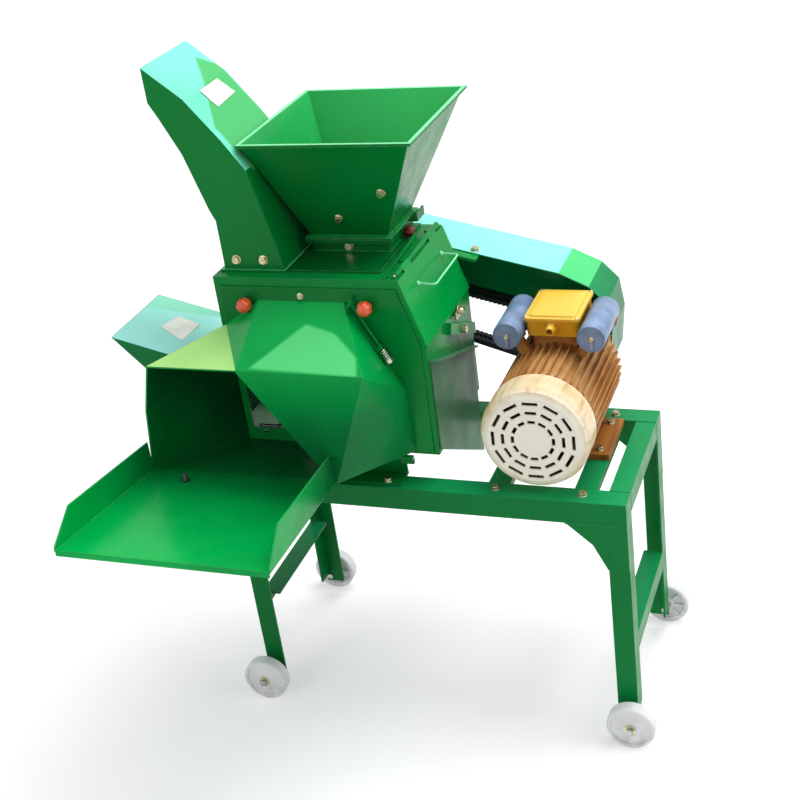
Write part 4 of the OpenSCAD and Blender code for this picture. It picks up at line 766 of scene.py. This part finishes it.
def cover_latch():
    """Turn latch: round boss, strap with rounded ends, and a wing nut with two lobed ears."""
    base = at(35.3, 65, 770)
    strap = rounded_rectangle(42, 14, 5.5) + (-9, 0)
    shapes = [
        turned([(0, -5.3), (4, -5.3), (4, 0.5), (0, 0.5)], base, X_AXIS, 24),
        turned([(0, 0), (11.4, 0), (12, 0.8), (12, 3.2), (11.4, 4), (0, 4)], base, X_AXIS, 48),
        slab(strap, 4, 6.9, Y_AXIS, Z_AXIS, base),
        turned([(0, 6.9), (6.4, 6.9), (6.2, 8), (4.6, 11.6), (4.2, 12.4), (0, 12.6)], base, X_AXIS, 32),
    ]
    for side in (-1, 1):
        ear = circle(4.4, 20) + (side * 7.2, 1.0)
        shapes.append(slab(ear, -1.2, 1.2, Y_AXIS, X_AXIS, base + 9.4 * MM * X_AXIS))
    piece("cover_turn_latch", shapes, "zinc_plate", "latch", ["cover_latch"])


# Door: stay rod and knobs

def stay_rod():
    """Painted stay rod in two clips down the hood's right edge; at its low end a coil spring
    (cos a, sin a, a pitch), a washer and a nut."""
    high, low = at(-94, -131, 881), at(-30, -131, 758)
    run, length = unit(low - high), np.linalg.norm(low - high) / MM
    side = np.cross(run, Y_AXIS)
    rod = turned([(0, 0), (1.8, 0), (2.6, 0.9), (2.6, length - 1), (2, length), (0, length)], high, run, 24)
    painted = [rod]
    for s in (9, length - 35):
        clip = rounded_rectangle(6, 8, 1.5)
        painted.append(slab(clip, -4.5, 11, run, side, high + run * s * MM))
    piece("stay_rod_painted", painted, "door_enamel", "door", ["stay_rod"])
    u, v = across(run)
    a = np.linspace(0, 11 * math.pi, 200)[:, None]
    rise = length - 31 + 22 * a / a[-1]
    coil = high + MM * (5.2 * (np.cos(a) * u + np.sin(a) * v) + rise * run)
    end = [
        swept(coil, circle(1.2, 8), run),
        turned([(0, 0), (6.5, 0), (6.5, 1.2), (0, 1.2)], high + run * (length - 9.2) * MM, run, 24),
        hex_head(high + run * (length - 8) * MM, run, 12, 7),
    ]
    piece("stay_rod_spring", end, "pale_zinc", "door")


def hand_knob(name, base, axis, profile, lobes, depth, finish, body, stands_for, stud):
    """Hand knob: the turned radius dips by depth (1 - cos(lobes a)) / 2, most at half its height."""
    top = max(h for _, h in profile)

    def swell(a, h):
        middle = np.sin(math.pi * np.clip(h / top, 0, 1)) ** 0.7
        return 1 - depth * middle * (0.5 - 0.5 * np.cos(lobes * a))

    piece(name, [turned(profile, base, axis, 96, swell)], finish, body)
    rod = threaded(base - unit(axis) * stud * MM, axis, 3.9, stud + 1, 1.25)
    piece(name + "_stud", [rod], "turned_steel", body, stands_for)


def knobs():
    """Two screw knobs of the door, and the clamp knob of the slide gate."""
    large = [
        (0, 0), (7.4, 0), (8.2, 1), (8.6, 3), (10.2, 5), (12.6, 8), (13.6, 11), (14, 14.5), (13.8, 18),
        (13, 21), (11.4, 24), (8.8, 26.6), (5.5, 28.3), (2.5, 29), (0, 29),
    ]
    for side, x in (("left", -297), ("right", -63)):
        hand_knob(
            side + "_knob", at(x, -121, 865), -Y_AXIS, large, 7, 0.10, "door_knob_plastic", "knob_" + side,
            [side + "_door_knob"], 14.5,
        )
    small = [
        (0, 0), (6.6, 0), (7, 0.6), (8.4, 2.6), (10, 4.4), (10.5, 7), (10.5, 12), (9.8, 15), (8, 17.6),
        (5, 18.8), (0, 19),
    ]
    hand_knob(
        "gate_clamp_knob", at(-50.6, 68, 927.5), X_AXIS, small, 6, 0.12, "gate_knob_plastic", "gate_clamp",
        ["gate_knob"], 6.4,
    )


# Motor's fittings

def capacitors():
    """Two cans, each drawn over a rolled rim at the front, with a sunk cap, a stud and a tinned tag."""
    profile = [
        (0, 2.8), (6, 2.8), (15, 2.8), (22.8, 2.4), (23.2, 1.2), (23.8, 0.2), (24.9, 0.1), (25.8, 1.2),
        (26, 3.2), (25.6, 4.8), (25.2, 5.8), (25.6, 6.6), (26, 8), (26, 127), (25, 129.2), (22.5, 130),
        (0, 130),
    ]
    tag = [(-2.8, -22), (2.8, -22), (2.8, -6), (1.8, -3), (-1.8, -3), (-2.8, -6)]
    cans, ends, tags = [], [], []
    for side in (-1, 1):
        base = at(MOTOR_X + side * 78, 0, MOTOR_Z + 126)
        cans.append(turned(profile, base, Y_AXIS, 64))
        ends.append(threaded(base + 2.8 * MM * Y_AXIS, -Y_AXIS, 3.6, 7.2, 1.2))
        ends.append(hex_head(base + 2.6 * MM * Y_AXIS, -Y_AXIS, 9, 2.6))
        tags.append(slab(tag, -2.6, 1.8, X_AXIS, Z_AXIS, base))
    piece("capacitor_cans", cans, "can_paint", stands_for=["capacitors"])
    piece("capacitor_terminals", ends, "zinc_plate")
    piece("capacitor_tags", tags, "tag_plastic")


def junction_box():
    """Cast box with rounded corners, rim and hollow, a gland nut and gland in front, and a raised lid
    with four screws."""
    middle = at(MOTOR_X, 90, 0) * (1, 1, 0)

    def stack(rings, base):
        outlines = [rounded_rectangle(w, d, min(8, w / 2)) for w, d, _ in rings]
        return lofted(outlines, [base + z for *_, z in rings], X_AXIS, Y_AXIS, middle)

    walls = stack([
        (94, 118, 0), (96, 120, 1.2), (96, 120, 24), (98, 122, 26), (100, 124, 28), (100, 124, 31),
        (90, 114, 31), (90, 114, 3), (1, 1, 3),
    ], 740)
    gland = at(MOTOR_X, 30, 758)
    nut = hex_nut(gland, -Y_AXIS, 19, 8, 5.6)
    tube = turned([
        (5.6, 7.5), (8.4, 7.5), (8.9, 8.6), (9, 10), (8.8, 16.5), (8, 18.8), (7, 19.9), (6.2, 20),
        (5.6, 19.2),
    ], gland, -Y_AXIS, 48, lambda a, h: 1 + 0.018 * np.cos(14 * a) * (h < 16), ring=True)
    piece("junction_box_casting", [walls, nut, tube], "box_enamel", stands_for=["junction_box"])
    lid = stack([
        (103, 127, 0), (104, 128, 0.6), (104, 128, 4.6), (102.5, 126.5, 6), (90, 114, 6), (88, 112, 6.4),
        (86.5, 110.5, 8.4), (84, 108, 9), (60, 80, 9), (1, 1, 9),
    ], 771)
    piece("junction_box_lid", [lid], "box_enamel", stands_for=["junction_lid"])
    screw = [(0, -1), (3.1, -1), (3.2, 0.6), (2.7, 1.5), (1.6, 2.0), (0, 2.0)]
    screws = [turned(screw, at(MOTOR_X + x, y, 777), Z_AXIS, 20) for x in (-47, 47) for y in (31, 149)]
    piece("junction_box_screws", screws, "zinc_plate")


def belt_line():
    """Outer line of a belt in X and Z: an arc round each pulley, joined by straight runs."""
    hubs = at(SHAFT_X, 0, SHAFT_Z)[[0, 2]], MOTOR[[0, 2]]
    radii = 47 * MM, 59 * MM
    run = hubs[1] - hubs[0]
    lean, opening = math.atan2(run[1], run[0]), math.acos((radii[0] - radii[1]) / np.linalg.norm(run))

    def arc(k, start, end):
        a = np.linspace(start, end, 65)[:, None]
        return hubs[k] + radii[k] * np.concatenate([np.cos(a), np.sin(a)], 1)

    first = arc(0, lean + opening, lean + 2 * math.pi - opening)
    second = arc(1, lean - opening, lean + opening)
    t = np.linspace(0, 1, 170)[1:-1, None]
    return np.concatenate([
        first, first[-1] + (second[0] - first[-1]) * t, second, second[-1] + (first[0] - second[-1]) * t,
    ])


def v_belts():
    """Two toothed V-belts: a tapered section along the belt line, its inner face dipping once each 9 mm."""
    line = belt_line()
    step = np.linalg.norm(np.roll(line, -1, axis=0) - line, axis=1)
    distance = np.cumsum(step) - step
    dip = 0.5 - 0.5 * np.cos(2 * math.pi * distance / step.sum() * round(step.sum() / 0.009))
    tangent = unit(np.roll(line, -1, axis=0) - np.roll(line, 1, axis=0))
    inward = np.stack([-tangent[:, 1], np.zeros(len(line)), tangent[:, 0]], 1)
    bottom = 10.6 - 2.4 * dip
    shoulder = np.minimum(8.6, bottom - 0.6)
    half = np.array([7.4, 8.2, 8.2, 6.6, 6.1, -6.1, -6.6, -8.2, -8.2, -7.4])
    depth = np.tile([0, 0.6, 3.4, 0, 0, 0, 0, 3.4, 0.6, 0.0], (len(line), 1))
    depth[:, [3, 6]], depth[:, [4, 5]] = shoulder[:, None], bottom[:, None]
    belts = []
    for y in (212.5, 233.5):
        path = np.insert(line, 1, at(0, y, 0)[1], axis=1)
        rows = path[:, None] + MM * (half[None, :, None] * Y_AXIS + depth[..., None] * inward[:, None])
        belts.append(skin(rows, True))
    piece("toothed_v_belts", belts, "belt_rubber", stands_for=["v_belts"])


# Weld beads and labels

def bead(corners, radius, look, closed=False):
    """Weld bead: a flattened round section along straight runs, swelling as |sin| once each 2.6 mm
    and wandering a little, as the pool froze."""
    corners = np.asarray(corners, float)
    ends = np.concatenate([corners, corners[:1]]) if closed else corners
    step = 0.9 * MM
    runs = []
    for a, b in zip(ends[:-1], ends[1:]):
        count = max(6, int(np.linalg.norm(b - a) / step))
        runs.append(a + (b - a) * np.linspace(0, 1, count, endpoint=False)[:, None])
    path = np.concatenate(runs if closed else [*runs, ends[-1:]])
    distance = np.arange(len(path)) * step
    wander = 0.05 * np.sin(distance * 410) + 0.04 * np.sin(distance * 173 + 1.0)
    swell = 0.82 + 0.18 * np.abs(np.sin(math.pi * distance / (2.6 * MM))) + wander
    return swept(path, circle(radius, 8, 0.8), look, closed, swell)


def weld_beads():
    """Beads where the sheets and the angle irons are joined."""
    up, ahead, aside = (0.01, 0.02, 1), (0.02, 1, 0.01), (1, 0.02, 0.01)
    corners = ((-205, 130), (-205, 0), (-55, 0), (-55, 130))
    sheet = [
        bead([at(x, y, 946.8) for x, y in corners], 2.2, up, True),
        bead([at(x, y, 916.2) for x, y in corners], 2.0, up),
        bead([at(-226, -90, 916.2), at(-346, -90, 916.2), at(-346, 85, 916.2), at(-226, 85, 916.2)], 2.0, up),
        bead([at(-364, y, z) for y, z in ((-80, 607), (120, 607), (120, 687), (-80, 687))], 2.0, aside, True),
        bead([at(-358, -117.5, 522.2), at(-34, -117.5, 522.2)], 2.2, up),
        bead([at(-358, 140.5, 522.2), at(-34, 140.5, 522.2)], 2.2, up),
    ]
    piece("sheet_weld_beads", sheet, "casing_enamel")
    iron = []
    for sx in (-1, 1):
        for sy in (-1, 1):
            iron.append(bead([at(sx * 386, sy * 170, 473), at(sx * 275, sy * 170, 473)], 2.4, ahead))
            iron.append(bead([at(sx * 348, sy * 170, 473), at(sx * 348, sy * 170, 380)], 1.8, ahead))
            for y, z in ((125, 518), (128, 215)):
                iron.append(bead([at(sx * 349, sy * y, z), at(sx * 385, sy * y, z)], 2.1, up))
            turn = np.linspace(0, 2 * math.pi, 60, endpoint=False)[:, None]
            round_axle = 7.2 * MM * (np.cos(turn) * X_AXIS + np.sin(turn) * Z_AXIS)
            ring = at(sx * WHEEL_X, sy * 166, WHEEL_Z) + round_axle
            waves = 0.9 + 0.15 * np.abs(np.sin(turn[:, 0] * 11))
            iron.append(swept(ring, circle(1.6, 8, 0.8), ahead, True, waves))
    piece("frame_weld_beads", iron, "frame_enamel")


def label(corners):
    """Paper label: a bilinear patch between four corners on the sheet, 0.25 mm thick, with its free
    corner curling up as the cube of the distance along it."""
    first, second, third, fourth = (np.asarray(c, float) for c in corners)
    a, b = np.meshgrid(np.linspace(0, 1, 12), np.linspace(0, 1, 12), indexing="ij")
    a, b = a[..., None], b[..., None]
    sheet = (1 - a) * ((1 - b) * first + b * second) + a * ((1 - b) * fourth + b * third)
    out = unit(np.cross(second - first, fourth - first))
    out = out * np.sign(out[2])
    lift, thickness = 0.4, 0.25
    curl = 1.6 * (a * b) ** 3 + 0.25 * np.sin(5 * a + 2 * b) ** 2
    rows = sheet + MM * (lift + curl) * out
    under = rows - thickness * MM * out
    return skin(np.concatenate([rows, under[:, ::-1]], axis=1))


def loose_fasteners():
    """Small bolt in the middle of the door, and a bolt with its nut that stands in the table's hole."""
    door = at(-190, -120, 879)
    small = [
        turned([(0, 0), (6.2, 0), (6.4, 0.3), (6.4, 0.9), (6.1, 1.2), (0, 1.2)], door, -Y_AXIS, 32),
        hex_head(door - 1.2 * MM * Y_AXIS, -Y_AXIS, 8, 4),
    ]
    piece("door_bolt", small, "zinc_plate", "door")
    hole, up = at(-401, -289.7, 577), np.array([0, 0.087, 0.996])
    standing = [
        threaded(hole - 8 * MM * up, up, 3.9, 26, 1.25),
        hex_head(hole - 13 * MM * up, up, 13, 5.3),
        hex_head(hole + 1.2 * MM * up, up, 13, 6),
    ]
    piece("table_bolt", standing, "mill_steel", "door")


def labels():
    """Two blank paper labels on the chutes' top sheets."""
    tall = [at(-361, -30, 1230), at(-363, 45, 1230), at(-339, 58, 1200), at(-336, -20, 1197)]
    side = [at(-572, 4, 744), at(-562, 61, 741), at(-510, 52, 727), at(-513, -22, 728)]
    piece("blank_labels", [label(tall), label(side)], "label_paper", soft_angle=60.0)


bolts()
wheels()
axle_washers()
cover_handle()
cover_latch()
stay_rod()
knobs()
capacitors()
junction_box()
v_belts()
weld_beads()
loose_fasteners()
labels()


# Floor and world

def white_for_rays(tree):
    """1 for camera, glossy and transmission rays, and 0 for the rays that light the object."""
    path = add(tree, "ShaderNodeLightPath").outputs
    pair = combine(tree, "MAXIMUM", path["Is Camera Ray"], path["Is Glossy Ray"])
    return combine(tree, "MAXIMUM", pair, path["Is Transmission Ray"])


def lay_floor():
    """Pale round floor, sunk a hair below the wheels, that keeps the object's shadow."""
    turn = np.linspace(0, 2 * math.pi, 96, endpoint=False)
    ring = np.stack([14 * np.cos(turn), 14 * np.sin(turn), np.full(96, -0.0005)], 1)
    mesh = bpy.data.meshes.new("floor")
    mesh.from_pydata(ring.tolist(), [], [list(range(96))])
    floor = bpy.data.objects.new("floor", mesh)
    bpy.context.scene.collection.objects.link(floor)
    tree, shader, point = new_finish("pale_floor")
    cloud = spread(tree, noise(tree, point, 3.0, 4.0), 0.3, 0.7)
    tone = blend_colour(tree, cloud, rgb(236, 236, 236), rgb(242, 242, 242))
    tree.links.new(tone, shader.inputs["Base Color"])
    shader.inputs["Roughness"].default_value = 0.9
    shader.inputs["Specular IOR Level"].default_value = 0.1
    shader.inputs["Emission Color"].default_value = (1, 1, 1, 1)
    away = add(tree, "ShaderNodeVectorMath", {0: point, 1: (0, 0, 0)}, operation="DISTANCE").outputs["Value"]
    glow = spread(tree, away, 0.9, 4.5, 0.34, 0.70)
    tree.links.new(times(tree, white_for_rays(tree), glow), shader.inputs["Emission Strength"])
    mesh.materials.append(bpy.data.materials["pale_floor"])


def light_world():
    """Soft even surroundings: white where they are seen, plainer where they light the object."""
    world = bpy.data.worlds.new("surroundings")
    bpy.context.scene.world = world
    world.use_nodes = True
    tree = world.node_tree
    back = tree.nodes["Background"]
    back.inputs["Color"].default_value = (1, 1, 1, 1)
    strength = spread(tree, white_for_rays(tree), 0.0, 1.0, 0.42, 1.0)
    tree.links.new(strength, back.inputs["Strength"])


lay_floor()
light_world()
bpy.context.scene.view_settings.view_transform = "Standard"
